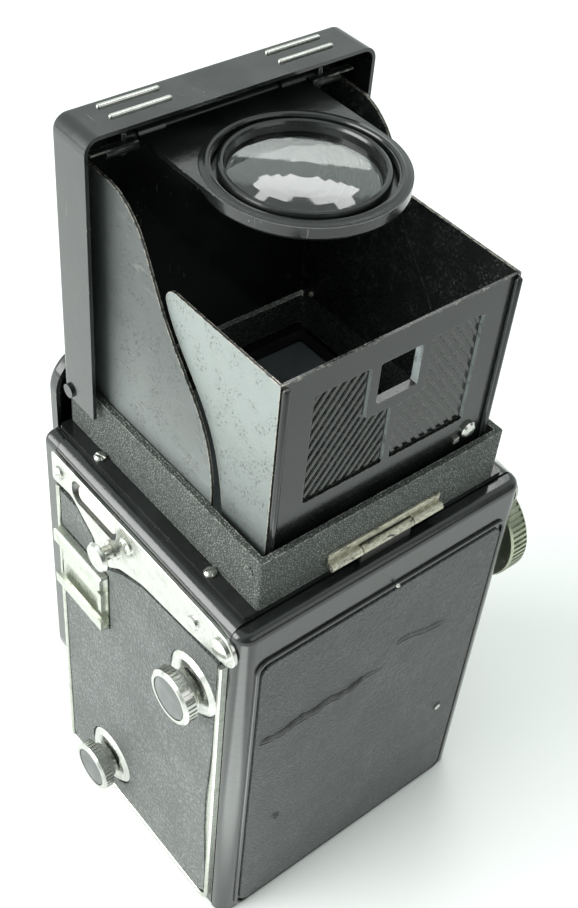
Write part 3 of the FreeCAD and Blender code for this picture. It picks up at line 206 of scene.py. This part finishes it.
def painted(name, colour, second, rough, wear, metal, worn_colour, specks, peel=0.02, coat=0.0):
    """Paint on metal: soft colour change, hairline scratches, specks and edges worn through."""
    edge_radius = 0.35 * MM
    haze = 0.25
    t = Tree(name)
    cloud = t.noise(9 * MM, 5, 0.6)
    tint = t.mix(t.step(cloud, 0.35, 0.7), colour, second)
    fine = t.noise(0.9 * MM, 4, 0.7)
    chips = t.step(t.noise(0.55 * MM, 3, 0.75), 0.70, 0.76)
    chips = t.math("MULTIPLY", chips, t.step(t.noise(6 * MM, 3), 0.5, 0.68))
    patches = t.noise(2.6 * MM, 5, 0.7)
    rubbed = t.math("MULTIPLY", t.edges(edge_radius),
                    t.step(patches, 0.62 - wear, 0.74 - wear * 0.6))
    scratch_a = t.step(t.noise(0.5 * MM, 2, 0.5, 0.4, (1.0, 0.05, 0.7)), 0.70, 0.73)
    scratch_b = t.step(t.noise(0.5 * MM, 2, 0.5, 0.3, (0.6, 1.0, 0.06)), 0.71, 0.74)
    scratches = t.math("MULTIPLY", t.math("MAXIMUM", scratch_a, scratch_b),
                       t.step(t.noise(14 * MM, 2), 0.5, 0.72))
    bare = t.math("MAXIMUM", rubbed, t.math("MULTIPLY", chips, specks), clamp=True)
    scratched = t.mix(t.math("MULTIPLY", scratches, 0.35), tint, DUST)
    t.set(Base_Color=t.mix(bare, scratched, worn_colour),
          Metallic=t.math("MULTIPLY", bare, metal),
          Roughness=t.math("ADD", t.math("MULTIPLY", t.step(cloud, 0.3, 0.75), haze * 0.4),
                           t.blend(bare, t.math("MULTIPLY_ADD", fine, haze * 0.5, rough), 0.42)),
          IOR=1.52, Coat_Weight=coat, Coat_Roughness=0.06)
    waves = t.bump(t.noise(2.2 * MM, 2), 0.6 * MM, peel)
    height = t.math("SUBTRACT", fine, t.math("ADD", bare, scratches))
    t.set(Normal=t.bump(height, 0.05 * MM, 0.5, waves))
    return t.material


def pressed_panel(name):
    """The hood's rear panel: black lacquer, with a painted highlight on the pressed steps that face
    +X.
    """
    pale, bare_metal = (0.34, 0.38, 0.38), (0.27, 0.26, 0.23)
    t = Tree(name)
    cloud = t.noise(9 * MM, 4, 0.6)
    fine = t.noise(0.8 * MM, 4, 0.7)
    black = t.mix(t.step(cloud, 0.35, 0.7), (0.007, 0.008, 0.008), (0.013, 0.015, 0.014))
    # painted highlight: step surfaces that face +X, toward the bright side, get a light grey colour
    # as if lit
    steps = t.math("MULTIPLY", t.step(t.facing("x"), 0.72, 0.95),
                   t.step(t.math("ABSOLUTE", t.part("x")), PANEL_STEPS_END, PANEL_STEPS_HALF))
    steps = t.math("MULTIPLY", steps, t.step(t.noise(3 * MM, 4, 0.7), 0.3, 0.5, 0.4, 1.0))
    edges = t.math("MULTIPLY", t.edges(0.5 * MM), t.step(fine, 0.42, 0.62, 0.0, 0.5))
    rim = t.math("MULTIPLY", t.step(t.part("z"), PANEL_RIM_Z, PANEL_RIM_TOP),
                 t.step(t.noise(1.6 * MM, 4, 0.8), 0.56, 0.62))
    specks = t.math("MULTIPLY", t.step(t.noise(0.5 * MM, 3, 0.7), 0.69, 0.74),
                    t.step(t.noise(6 * MM, 3), 0.5, 0.66))
    bare = t.math("MAXIMUM", t.math("MAXIMUM", edges, rim), t.math("MULTIPLY", specks, 0.5))
    t.set(Base_Color=t.mix(bare, t.mix(steps, black, pale), bare_metal), IOR=1.52,
          Metallic=t.math("MULTIPLY", bare, 0.3),
          Roughness=t.math("MULTIPLY_ADD", fine, 0.14, t.blend(bare, 0.10, 0.4)))
    t.set(Normal=t.bump(t.math("SUBTRACT", fine, bare), 0.05 * MM, 0.5))
    return t.material


def leather(name, dark, light, grain, depth, sheen_rough):
    """Pebbled leather: rounded cells of two sizes, lines between them, dust and faint scuffs."""
    dusty_grey, scuff_grey = (0.5, 0.51, 0.49), (0.4, 0.41, 0.39)
    t = Tree(name)
    big = t.cells(grain, "SMOOTH_F1")
    small = t.cells(grain * 0.46, "SMOOTH_F1", 0.5)
    warp = t.noise(grain * 3.0, 3)
    pebble = t.math("ADD", t.math("MULTIPLY", t.step(big, 0.62, 0.12), 0.65),
                    t.math("MULTIPLY", t.step(small, 0.6, 0.1), 0.35))
    height = t.math("ADD", pebble, t.math("MULTIPLY", warp, 0.55))
    worn = t.math("ADD", height, t.math("MULTIPLY", t.noise(11 * MM, 4), 0.9))
    colour = t.mix(t.step(worn, 0.9, 1.7), dark, light)
    dusty = t.step(t.noise(0.42 * MM, 2, 0.6), 0.68, 0.75)
    colour = t.mix(t.math("MULTIPLY", dusty, 0.12), colour, dusty_grey)
    scuffs = t.step(t.noise(0.5 * MM, 2, 0.5, 0.4, (0.06, 1.0, 0.5)), 0.72, 0.75)
    scuffs = t.math("MULTIPLY", scuffs, t.step(t.noise(12 * MM, 2), 0.5, 0.7))
    t.set(Base_Color=t.mix(t.math("MULTIPLY", scuffs, 0.25), colour, scuff_grey),
          Roughness=t.step(worn, 0.5, 1.8, sheen_rough + 0.14, sheen_rough - 0.06),
          IOR=1.5, Sheen_Weight=0.12, Sheen_Roughness=0.45)
    waves = t.bump(t.noise(16 * MM, 3), 2.8 * MM, 0.22)
    t.set(Normal=t.bump(height, depth, 0.8, waves))
    return t.material


def wing_lacquer_painted_sheen(name, foot, head):
    """Sheet wings: grey painted sheen outside, from foot to head, with dark specks; dark lacquer
    inside.
    """
    tint = (1.0, 1.13, 1.08)
    t = Tree(name)
    outside = t.step(t.math("MULTIPLY", t.part("x"), t.facing("x")), 0.002, 0.012)
    cloud = t.noise(8 * MM, 5, 0.6)
    fine = t.noise(0.7 * MM, 4, 0.7)
    specks = t.step(t.noise(0.6 * MM, 3, 0.75), 0.56, 0.63)
    specks = t.math("MULTIPLY", specks, t.step(t.noise(5 * MM, 3), 0.44, 0.58))
    streaks = t.step(t.noise(0.6 * MM, 3, 0.6, 0.3, (1.0, 0.08, 0.6)), 0.62, 0.7)
    # painted sheen: the grey outside and its change from foot to head stand in for light reflected
    # by the black lacquer
    low, high = (tuple(shade * part for part in tint) for shade in (foot, head))
    height = t.math("ADD", t.part("z"), t.math("MULTIPLY", cloud, 14 * MM))
    grey = t.mix(t.step(height, WING_FOOT_Z, WING_TOP_Z), low, high)
    grey = t.mix(t.math("MULTIPLY", streaks, 0.2), grey, (0.26, 0.27, 0.25))
    grey = t.mix(t.math("MULTIPLY", specks, 0.75), grey, (0.03, 0.033, 0.031))
    dark = t.mix(t.math("MULTIPLY", specks, 0.5), (0.014, 0.016, 0.0155), (0.2, 0.2, 0.19))
    worn = t.math("MULTIPLY", t.edges(0.4 * MM), t.step(t.noise(1.3 * MM, 4, 0.7), 0.4, 0.55))
    t.set(Base_Color=t.mix(worn, t.mix(outside, dark, grey), (0.55, 0.5, 0.42)),
          Metallic=t.math("MULTIPLY", worn, 0.6), IOR=1.5,
          Roughness=t.math("MULTIPLY_ADD", fine, 0.22, t.blend(outside, 0.16, 0.27)))
    t.set(Normal=t.bump(t.math("ADD", fine, specks), 0.07 * MM, 0.6))
    return t.material


def crackle(name):
    """Wrinkle paint: fine raised cells, dusty green-grey on top and worn bright at edges."""
    t = Tree(name)
    raised = t.cells(0.62 * MM, "DISTANCE_TO_EDGE")
    fine = t.noise(0.34 * MM, 3, 0.6, 0.6)
    height = t.math("ADD", t.step(raised, 0.0, 0.32), t.math("MULTIPLY", fine, 0.9))
    tops = t.step(height, 0.75, 1.5)
    patch = t.step(t.noise(7 * MM, 3), 0.35, 0.7)
    dusty = t.mix(patch, (0.16, 0.178, 0.165), (0.22, 0.24, 0.22))
    colour = t.mix(tops, (0.045, 0.052, 0.047), dusty)
    rub = t.math("MULTIPLY", t.edges(0.5 * MM), t.step(t.noise(1.1 * MM, 4, 0.7), 0.4, 0.62))
    colour = t.mix(rub, colour, (0.5, 0.49, 0.44))
    t.set(Base_Color=colour, Metallic=t.math("MULTIPLY", rub, 0.6), IOR=1.5,
          Roughness=t.step(height, 0.6, 1.6, 0.62, 0.36))
    t.set(Normal=t.bump(height, 0.3 * MM, 0.9))
    return t.material


def plated(name, colour, dull, rough, tarnish, grime=0.5, line=0.25):
    """Nickel or other plating: fine polishing lines along X, cloudy tarnish and spots of dirt."""
    along_x = (0.05, 1, 1)
    t = Tree(name)
    cloud = t.noise(3.5 * MM, 5, 0.65)
    spot = t.step(t.noise(0.7 * MM, 4, 0.7), 0.62, 0.74)
    lines = t.noise(0.16 * MM, 2, 0.5, 0.0, along_x)
    dirt = t.math("MULTIPLY", t.step(cloud, 0.45, 0.72), tarnish)
    dirt = t.math("MAXIMUM", dirt, t.math("MULTIPLY", spot, grime * 0.5), clamp=True)
    t.set(Base_Color=t.mix(dirt, colour, dull),
          Metallic=t.math("MULTIPLY_ADD", dirt, -0.35, 1.0),
          Roughness=t.math("ADD", t.math("MULTIPLY", lines, 0.10),
                           t.math("MULTIPLY_ADD", dirt, 0.3, rough)))
    t.set(Normal=t.bump(t.math("MULTIPLY_ADD", spot, -0.6, lines), 0.03 * MM, line))
    return t.material


def worn_brass(name):
    """Brass: light and brown grain, and dark patches, most of them low down."""
    t = Tree(name)
    cloud = t.noise(1.7 * MM, 5, 0.7, 0.5, (0.45, 1, 1))
    grain = t.noise(0.28 * MM, 4, 0.7, 0.0, (0.3, 1, 1))
    patchy = t.math("ADD", cloud, t.math("MULTIPLY", grain, 0.35))
    foot = t.step(t.part("z"), BRASS_FOOT_TOP, BRASS_FOOT_Z, 0.0, 0.5)
    # dark patches, more of them toward the bottom, below BRASS_FOOT_TOP
    left = t.step(t.math("ADD", patchy, foot), 0.74, 0.86)
    metal = t.mix(t.step(grain, 0.3, 0.65), (0.30, 0.28, 0.20), (0.70, 0.68, 0.58))
    t.set(Base_Color=t.mix(left, metal, (0.035, 0.034, 0.03)),
          Metallic=t.step(left, 0.0, 1.0, 0.9, 0.05),
          Roughness=t.math("MULTIPLY_ADD", grain, 0.3, 0.26))
    t.set(Normal=t.bump(t.math("ADD", grain, left), 0.12 * MM, 0.7))
    return t.material


def clear_glass(name, tint):
    """Polished glass with grains of dust and a faint smear."""
    polish = 0.015
    t = Tree(name)
    dust = t.step(t.noise(0.35 * MM, 3, 0.7), 0.71, 0.78)
    smear = t.noise(7 * MM, 4, 0.6, 0.8)
    t.set(Base_Color=t.mix(t.math("MULTIPLY", dust, 0.3), tint, (0.9, 0.9, 0.88)),
          Roughness=t.math("MULTIPLY_ADD", smear, 0.04, polish),
          IOR=1.52, Transmission_Weight=1.0, Coat_Weight=0.5, Coat_Roughness=0.02)
    return t.material


def ground_glass(name):
    """The focusing screen: grey, fine grained and only partly clear."""
    t = Tree(name)
    grain = t.noise(0.12 * MM, 3, 0.7)
    smear = t.noise(8 * MM, 4, 0.6, 0.6)
    t.set(Base_Color=t.mix(smear, (0.16, 0.18, 0.19), (0.30, 0.33, 0.35)),
          Roughness=t.math("MULTIPLY_ADD", grain, 0.2, 0.28), IOR=1.5, Transmission_Weight=0.25)
    t.set(Normal=t.bump(grain, 0.03 * MM, 0.6))
    return t.material


def enamelled(name, colour, second):
    """A cream enamel filling, a little stained and pitted."""
    t = Tree(name)
    stain = t.noise(2.0 * MM, 5, 0.7)
    pits = t.step(t.noise(0.4 * MM, 3, 0.7), 0.68, 0.76)
    t.set(Base_Color=t.mix(t.math("MAXIMUM", t.step(stain, 0.5, 0.75), pits), colour, second),
          Roughness=t.math("MULTIPLY_ADD", stain, 0.25, 0.25), IOR=1.5, Coat_Weight=0.4,
          Coat_Roughness=0.1)
    t.set(Normal=t.bump(t.math("MULTIPLY", pits, -1.0), 0.05 * MM, 0.5))
    return t.material


looks = {
    "enamel": painted("Gloss_enamel", (0.008, 0.009, 0.009), (0.014, 0.016, 0.015), 0.09, 0.0, 0.4,
                      (0.34, 0.35, 0.33), peel=0.05, coat=0.3, specks=0.25),
    "lacquer": painted("Satin_lacquer", (0.012, 0.014, 0.0135), (0.026, 0.029, 0.028), 0.22, 0.20,
                       0.8, BRIGHT, peel=0.04, specks=0.5),
    "panel": pressed_panel("Panel_lacquer"),
    # painted sheen: both wings are one black lacquer; the front one is shaded and the rear one lit
    # toward the top
    "front_wing": wing_lacquer_painted_sheen("Front_wing_lacquer_painted_sheen", 0.12, 0.055),
    "rear_wing": wing_lacquer_painted_sheen("Rear_wing_lacquer_painted_sheen", 0.12, 0.21),
    "inside": painted("Dull_black_inside", (0.005, 0.005, 0.005), (0.008, 0.0085, 0.008), 0.6, 0.05,
                      0.3, BROWN, peel=0.04, specks=0.12),
    "leather": leather("Pebbled_leather", (0.060, 0.067, 0.064), (0.165, 0.179, 0.172),
                       0.72 * MM, 0.36 * MM, 0.36),
    "back_leather": leather("Fine_leather", (0.030, 0.034, 0.033), (0.085, 0.091, 0.088),
                            0.56 * MM, 0.32 * MM, 0.34),
    # painted shade: near-black leather for the creases, so that the split reads dark
    "split_leather_painted_shade": leather("Split_leather_painted_shade", (0.006, 0.006, 0.006), (0.035, 0.037, 0.036),
                             0.5 * MM, 0.1 * MM, 0.36),
    "crackle": crackle("Wrinkle_paint"),
    "nickel": plated("Bright_nickel", (0.60, 0.605, 0.57), (0.33, 0.33, 0.28), 0.14, 0.4,
                     grime=0.3),
    "old_nickel": plated("Tarnished_nickel", (0.58, 0.60, 0.54), (0.30, 0.31, 0.25), 0.22, 0.5,
                         grime=0.4),
    "green_nickel": plated("Green_nickel", (0.40, 0.43, 0.33), (0.17, 0.19, 0.13), 0.26, 0.6,
                           grime=0.4),
    "steel": plated("Plain_steel", (0.56, 0.56, 0.55), (0.28, 0.27, 0.25), 0.30, 0.4),
    "brass": worn_brass("Worn_brass"),
    "glass": clear_glass("Clear_lens", (0.93, 0.98, 0.95)),
    "ground": ground_glass("Ground_glass"),
    "mirror": plated("Silvered_glass", (0.9, 0.92, 0.92), (0.7, 0.72, 0.72), 0.02, 0.1, grime=0.1,
                     line=0.05),
    "ivory": enamelled("Cream_enamel", (0.62, 0.61, 0.50), (0.36, 0.33, 0.24)),
    "dark_inlay": painted("Inlay_paint", (0.10, 0.108, 0.105), (0.18, 0.19, 0.185), 0.5, 0.0, 0.3,
                          BRIGHT, specks=0.5),
}

FINISH = {
    "enamel": ["body_shell", "base_plate", "front_band", "back_door", "lens_panel",
               "hood_flange_plate", "hood_lid", "magnifier_frame", "lid_pins"],
    "lacquer": ["shutter_housing", "viewing_barrel", "taking_barrel",
                "speed_ring", "magnifier_rod"],
    "panel": ["rear_panel"],
    "front_wing": ["lid_wings"],
    "rear_wing": ["rear_wings"],
    "inside": ["dark_chamber", "mirror_box", "screen_frame", "pressure_plate", "supply_spool",
               "take_up_spool"],
    "leather": ["side_leather"],
    "back_leather": ["door_leather"],
    "crackle": ["hood_frame", "rear_pins"],
    "nickel": ["strap_plates", "strap_studs", "screws", "lid_strips", "knob_flanges",
               "spool_knob_upper", "spool_knob_lower", "rear_stud", "aperture_lever",
               "cocking_lever", "release_lever", "tripod_bush"],
    "old_nickel": ["side_trim", "accessory_shoe", "shoe_spring", "door_latch"],
    "green_nickel": ["wind_knob", "focus_knob"],
    "steel": ["film_roller", "wind_shaft", "focus_pinion", "focus_rack", "pressure_spring",
              "door_hinge_pin"],
    "brass": ["door_knuckle", "body_knuckles"],
    "glass": ["magnifier_lens", "lens_glasses"],
    "ground": ["focusing_screen"],
    "mirror": ["finder_mirror"],
    "ivory": ["strap_inlays"],
    "dark_inlay": ["knob_inlay_upper", "knob_inlay_lower"],
}
unfinished = set(nodes)
for look, names in FINISH.items():
    for name in names:
        piece = nodes[name]
        if not piece.material_slots:
            piece.data.materials.append(looks[look])
        for holder in piece.material_slots:
            holder.material = looks[look]
        unfinished.discard(name)
if unfinished:
    raise ValueError(f"nodes without a finish: {sorted(unfinished)}")

# ------------------------------------------------------------------ added surface details


def add_piece(name, mesh, look, body, smooth=True):
    """Show a mesh as one more piece that rides on a CAD body."""
    piece = bpy.data.objects.new(name, mesh)
    bpy.context.scene.collection.objects.link(piece)
    mesh.materials.append(looks[look])
    for face in mesh.polygons:
        face.use_smooth = smooth
    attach(piece, body)


def closed_tube(mesh, rings):
    """Join the rings of corners into one closed skin."""
    shape = bmesh.new()
    made = [[shape.verts.new(spot) for spot in ring] for ring in rings]
    count = len(made[0])
    for a, b in zip(made, made[1:]):
        for k in range(count):
            shape.faces.new((a[k], a[(k + 1) % count], b[(k + 1) % count], b[k]))
    shape.faces.new(made[0])
    shape.faces.new(made[-1])
    bmesh.ops.recalc_face_normals(shape, faces=shape.faces)
    shape.to_mesh(mesh)
    shape.free()


def leather_crease(name, start, end, strength, seed):
    """A split in the back's leather from start to end (x, z): two lifted lips and a gap, all
    coloured near black as painted shade.
    """
    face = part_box("door_leather")[1].y - 0.35 * MM
    steps = 130
    highest = 0.55
    # across the split: (distance up from its line, height over the leather), in millimetres
    section = [(-1.9, -0.12), (-1.2, 0.05), (-0.62, 0.22), (-0.24, 0.18), (-0.10, -0.06),
               (0.12, -0.06), (0.30, 0.28), (0.75, 0.30), (1.45, 0.10), (2.2, -0.12),
               (1.4, -0.3), (-1.2, -0.3)]
    rings = []
    for i in range(steps + 1):
        t = i / steps
        x, z = ((a + (b - a) * t) * MM for a, b in zip(start, end))
        wave = noise.noise(Vector((x * 160, seed, 0))) * 1.1
        wave += noise.noise(Vector((x * 900, seed + 4, 0))) * 0.4
        fade = min(1.0, 9 * t + 0.35, (1 - t) * 4 + 0.05)
        lift = strength * fade * (0.8 + 0.7 * noise.noise(Vector((x * 420, seed + 8, 0))))
        spread = 0.5 + 0.4 * fade + 0.25 * noise.noise(Vector((x * 300, seed + 12, 0)))
        rings.append([(x, face + (min(out * lift, highest) if out > 0 else out) * MM,
                       z + (wave + up * spread) * MM) for up, out in section])
    mesh = bpy.data.meshes.new(name)
    closed_tube(mesh, rings)
    add_piece(name, mesh, "split_leather_painted_shade", "back_door")


def bead(name, points, radius, look, body, flat_ends=False):
    """A thin round bar through the points, as a closed mesh with rounded or flat ends."""
    sides = 14
    path = [Vector(p) for p in points]
    rings = []
    for i, here in enumerate(path):
        along = (path[min(i + 1, len(path) - 1)] - path[max(i - 1, 0)]).normalized()
        aside = along.orthogonal().normalized()
        over = along.cross(aside)
        shifts = [(0, 1.0)]
        if i == 0:
            shifts = [(0, 0.9), (0, 1.0)] if flat_ends else [(-1, 0.55), (0, 1.0)]
        elif i == len(path) - 1:
            shifts = [(0, 1.0), (0, 0.9)] if flat_ends else [(0, 1.0), (1, 0.55)]
        for shift, share in shifts:
            middle = here + along * (shift * radius * 0.6)
            ring = []
            for k in range(sides):
                angle = 2 * math.pi * k / sides
                ring.append(middle + (aside * math.cos(angle) + over * math.sin(angle))
                            * radius * share)
            rings.append(ring)
    mesh = bpy.data.meshes.new(name)
    closed_tube(mesh, rings)
    add_piece(name, mesh, look, body)


def block(name, low, high, look, body):
    """A plain box with small rounded edges, given by two corners in millimetres."""
    rounding = 0.12 * MM
    mesh = bpy.data.meshes.new(name)
    shape = bmesh.new()
    bmesh.ops.create_cube(shape, size=1.0)
    for corner in shape.verts:
        place = [(a + b) / 2 + (b - a) * c for a, b, c in zip(low, high, corner.co)]
        corner.co = Vector(place) * MM
    bmesh.ops.bevel(shape, geom=shape.edges[:], offset=rounding, segments=2, affect="EDGES")
    shape.to_mesh(mesh)
    shape.free()
    add_piece(name, mesh, look, body, smooth=False)


# where the small pieces sit; block takes its corners in millimetres, so the leaf's are too
RIVET_Z = 34.4 * MM
NUB_X, NUB_Z = -2.0 * MM, 98.15 * MM
WING_RIVET_Y, WING_RIVET_Z = -30.7 * MM, 120.7 * MM
BARREL_Y, BARREL_Z = -28.0 * MM, 177.9 * MM
LEAF_LOW_Y, LEAF_HIGH_Y = -29.0, -27.2
LEAF_LOW_Z, LEAF_HIGH_Z = 178.7, 179.1

leather_crease("leather_crease_long", (32.3, 69.4), (-2.7, 69.6), 1.8, 0.3)
leather_crease("leather_crease_short", (-5.8, 75.6), (-22.0, 72.1), 0.7, 5.1)

bead("rivet_bare", [(-26.6 * MM, y * MM, RIVET_Z) for y in (33.8, 33.9, 34.04)], 0.85 * MM,
     "nickel", "back_door", flat_ends=True)
bead("rivet_dark", [(25.0 * MM, y * MM, RIVET_Z) for y in (33.8, 33.9, 34.03)], 0.8 * MM,
     "inside", "back_door", flat_ends=True)
bead("door_bead_nub", [(NUB_X, y * MM, NUB_Z) for y in (33.2, 33.5, 33.9)], 0.5 * MM,
     "nickel", "back_door")
# painted glint: cream enamel on this small rivet stands in for a bright spot of light inside the
# hood
bead("wing_rivet_painted_glint", [(x * MM, WING_RIVET_Y, WING_RIVET_Z) for x in (-29.8, -29.5, -29.2)], 0.6 * MM,
     "ivory", "hood_lid")

panel_low, panel_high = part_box("rear_panel")
for side, label in ((1, "left"), (-1, "right")):
    edge = side * (panel_high.x - 0.35 * MM)
    bead(f"rear_corner_bead_{label}",
         [(edge, panel_high.y - 0.45 * MM, panel_low.z + z * MM) for z in (4.0, 15, 30, 45.0)],
         0.75 * MM, "panel", "rear_shell")
    bead(f"magnifier_barrel_{label}",
         [(side * x * MM, BARREL_Y, BARREL_Z) for x in (20.6, 24.0, 27.5)],
         0.9 * MM, "lacquer", "hood_lid", flat_ends=True)
    across = sorted((side * 20.6, side * 31.0))
    block(f"magnifier_leaf_{label}", (across[0], LEAF_LOW_Y, LEAF_LOW_Z),
          (across[1], LEAF_HIGH_Y, LEAF_HIGH_Z), "lacquer", "hood_lid")

# ------------------------------------------------------------------ edges that catch the light

SOFT_EDGES_MM = {"hood_lid": 0.12, "rear_panel": 0.08, "hood_frame": 0.18,
                 "hood_flange_plate": 0.16, "accessory_shoe": 0.12, "side_trim": 0.1}
SHARPER_THAN = math.radians(50)
for name, width in SOFT_EDGES_MM.items():
    soften = nodes[name].modifiers.new("soft_edges", "BEVEL")
    soften.width = width * MM
    soften.segments = 2
    soften.limit_method = "ANGLE"
    soften.angle_limit = SHARPER_THAN
    soften.harden_normals = False

# ------------------------------------------------------------------ floor, light and camera


FLOOR_DIM, FLOOR_BRIGHT, FLOOR_PATCH = 0.06, 0.22, 2.4
FLOOR_HALF = 3.0
FLOOR_GAP = 0.05 * MM
DAYLIGHT = (0.91, 1.0, 0.965)
SKY_FRONT, SKY_BACK = 0.95, 0.22


def floor_material():
    """Pale floor that glows: more toward +X and -Y, and most in a patch off the +X +Y corner."""
    t = Tree("Pale_floor")
    x, y = t.part("x"), t.part("y")
    leftward = t.math("SUBTRACT", x, y)
    nearer = t.math("ADD", x, y)
    side = t.step(leftward, -0.04, 0.12)
    patch = t.math("MULTIPLY", t.step(nearer, 0.075, 0.11), t.step(nearer, 0.26, 0.22))
    patch = t.math("MULTIPLY", patch, t.step(t.math("ABSOLUTE", leftward), 0.06, 0.03))
    glow = t.math("ADD", t.blend(side, FLOOR_DIM, FLOOR_BRIGHT),
                  t.math("MULTIPLY", patch, FLOOR_PATCH))
    t.set(Base_Color=t.mix(t.noise(0.25, 2), (0.90, 0.91, 0.89), (0.93, 0.93, 0.92)),
          Roughness=t.step(t.noise(0.02, 3), 0.3, 0.7, 0.6, 0.7), IOR=1.45,
          Emission_Color=(0.93, 1.0, 0.965), Emission_Strength=glow)
    return t.material


floor_mesh = bpy.data.meshes.new("floor")
floor_shape = bmesh.new()
bmesh.ops.create_grid(floor_shape, x_segments=8, y_segments=8, size=FLOOR_HALF)
floor_shape.to_mesh(floor_mesh)
floor_shape.free()
floor = bpy.data.objects.new("floor", floor_mesh)
floor.location.z = cad_box[0].z - FLOOR_GAP
floor_mesh.materials.append(floor_material())
bpy.context.scene.collection.objects.link(floor)


def studio_world():
    """Pale daylight from all round, darker from +Y, the side of the back door."""
    world = bpy.data.worlds.new("Studio")
    bpy.context.scene.world = world
    world.use_nodes = True
    tree = world.node_tree
    sky = tree.nodes["Background"]
    sky.inputs["Color"].default_value = (*DAYLIGHT, 1)
    direction = tree.nodes.new("ShaderNodeTexCoord")
    split = tree.nodes.new("ShaderNodeSeparateXYZ")
    tree.links.new(direction.outputs["Generated"], split.inputs[0])
    shade = tree.nodes.new("ShaderNodeMapRange")
    for socket, number in zip(shade.inputs, (0.0, 0.25, 0.6, SKY_FRONT, SKY_BACK)):
        socket.default_value = number
    tree.links.new(split.outputs["Y"], shade.inputs[0])
    tree.links.new(shade.outputs[0], sky.inputs["Strength"])


def area_light(name, where, target, size, power):
    """A rectangular white light aimed at the target."""
    data = bpy.data.lights.new(name, "AREA")
    data.shape = "RECTANGLE"
    data.size, data.size_y = size
    data.energy = power
    lamp = bpy.data.objects.new(name, data)
    bpy.context.scene.collection.objects.link(lamp)
    aim = (Vector(target) - Vector(where)).to_track_quat("-Z", "Y")
    lamp.matrix_world = Matrix.Translation(where) @ aim.to_matrix().to_4x4()


studio_world()
MIDDLE = (0.0, 0.0, 0.09)
MAGNIFIER = (0, -0.005, 0.178)
area_light("Window", (1.3, -0.55, 0.75), MIDDLE, (1.2, 1.2), 34.0)
area_light("Behind", (-0.3, 1.1, 0.8), MIDDLE, (1.0, 0.8), 3.0)
area_light("Small_window", (-0.59, -0.63, 1.02), MAGNIFIER, (0.5, 0.26), 2.1)

CAMERA_AT = Vector((0.140455, 0.148765, 0.308540))
AZIMUTH, ELEVATION, ROLL = (math.radians(a) for a in (46.8638, 44.1357, 6.0310))
LENS_MM, SENSOR_MM = 52.9, 36.0
back = Vector((math.cos(ELEVATION) * math.cos(AZIMUTH), math.cos(ELEVATION) * math.sin(AZIMUTH),
               math.sin(ELEVATION)))
level = Vector((-math.sin(AZIMUTH), math.cos(AZIMUTH), 0))
upward = back.cross(level)
right = math.cos(ROLL) * level + math.sin(ROLL) * upward
upward = -math.sin(ROLL) * level + math.cos(ROLL) * upward
camera_data = bpy.data.cameras.new("Camera")
camera_data.lens = LENS_MM
camera_data.sensor_width = SENSOR_MM
camera_data.sensor_fit = "AUTO"
camera_data.clip_start = 0.01
camera = bpy.data.objects.new("Camera", camera_data)
bpy.context.scene.collection.objects.link(camera)
turn = Matrix((right, upward, back)).transposed().to_4x4()
camera.matrix_world = Matrix.Translation(CAMERA_AT) @ turn
bpy.context.scene.camera = camera
bpy.context.scene.view_settings.view_transform = "Standard"

bpy.context.view_layer.update()
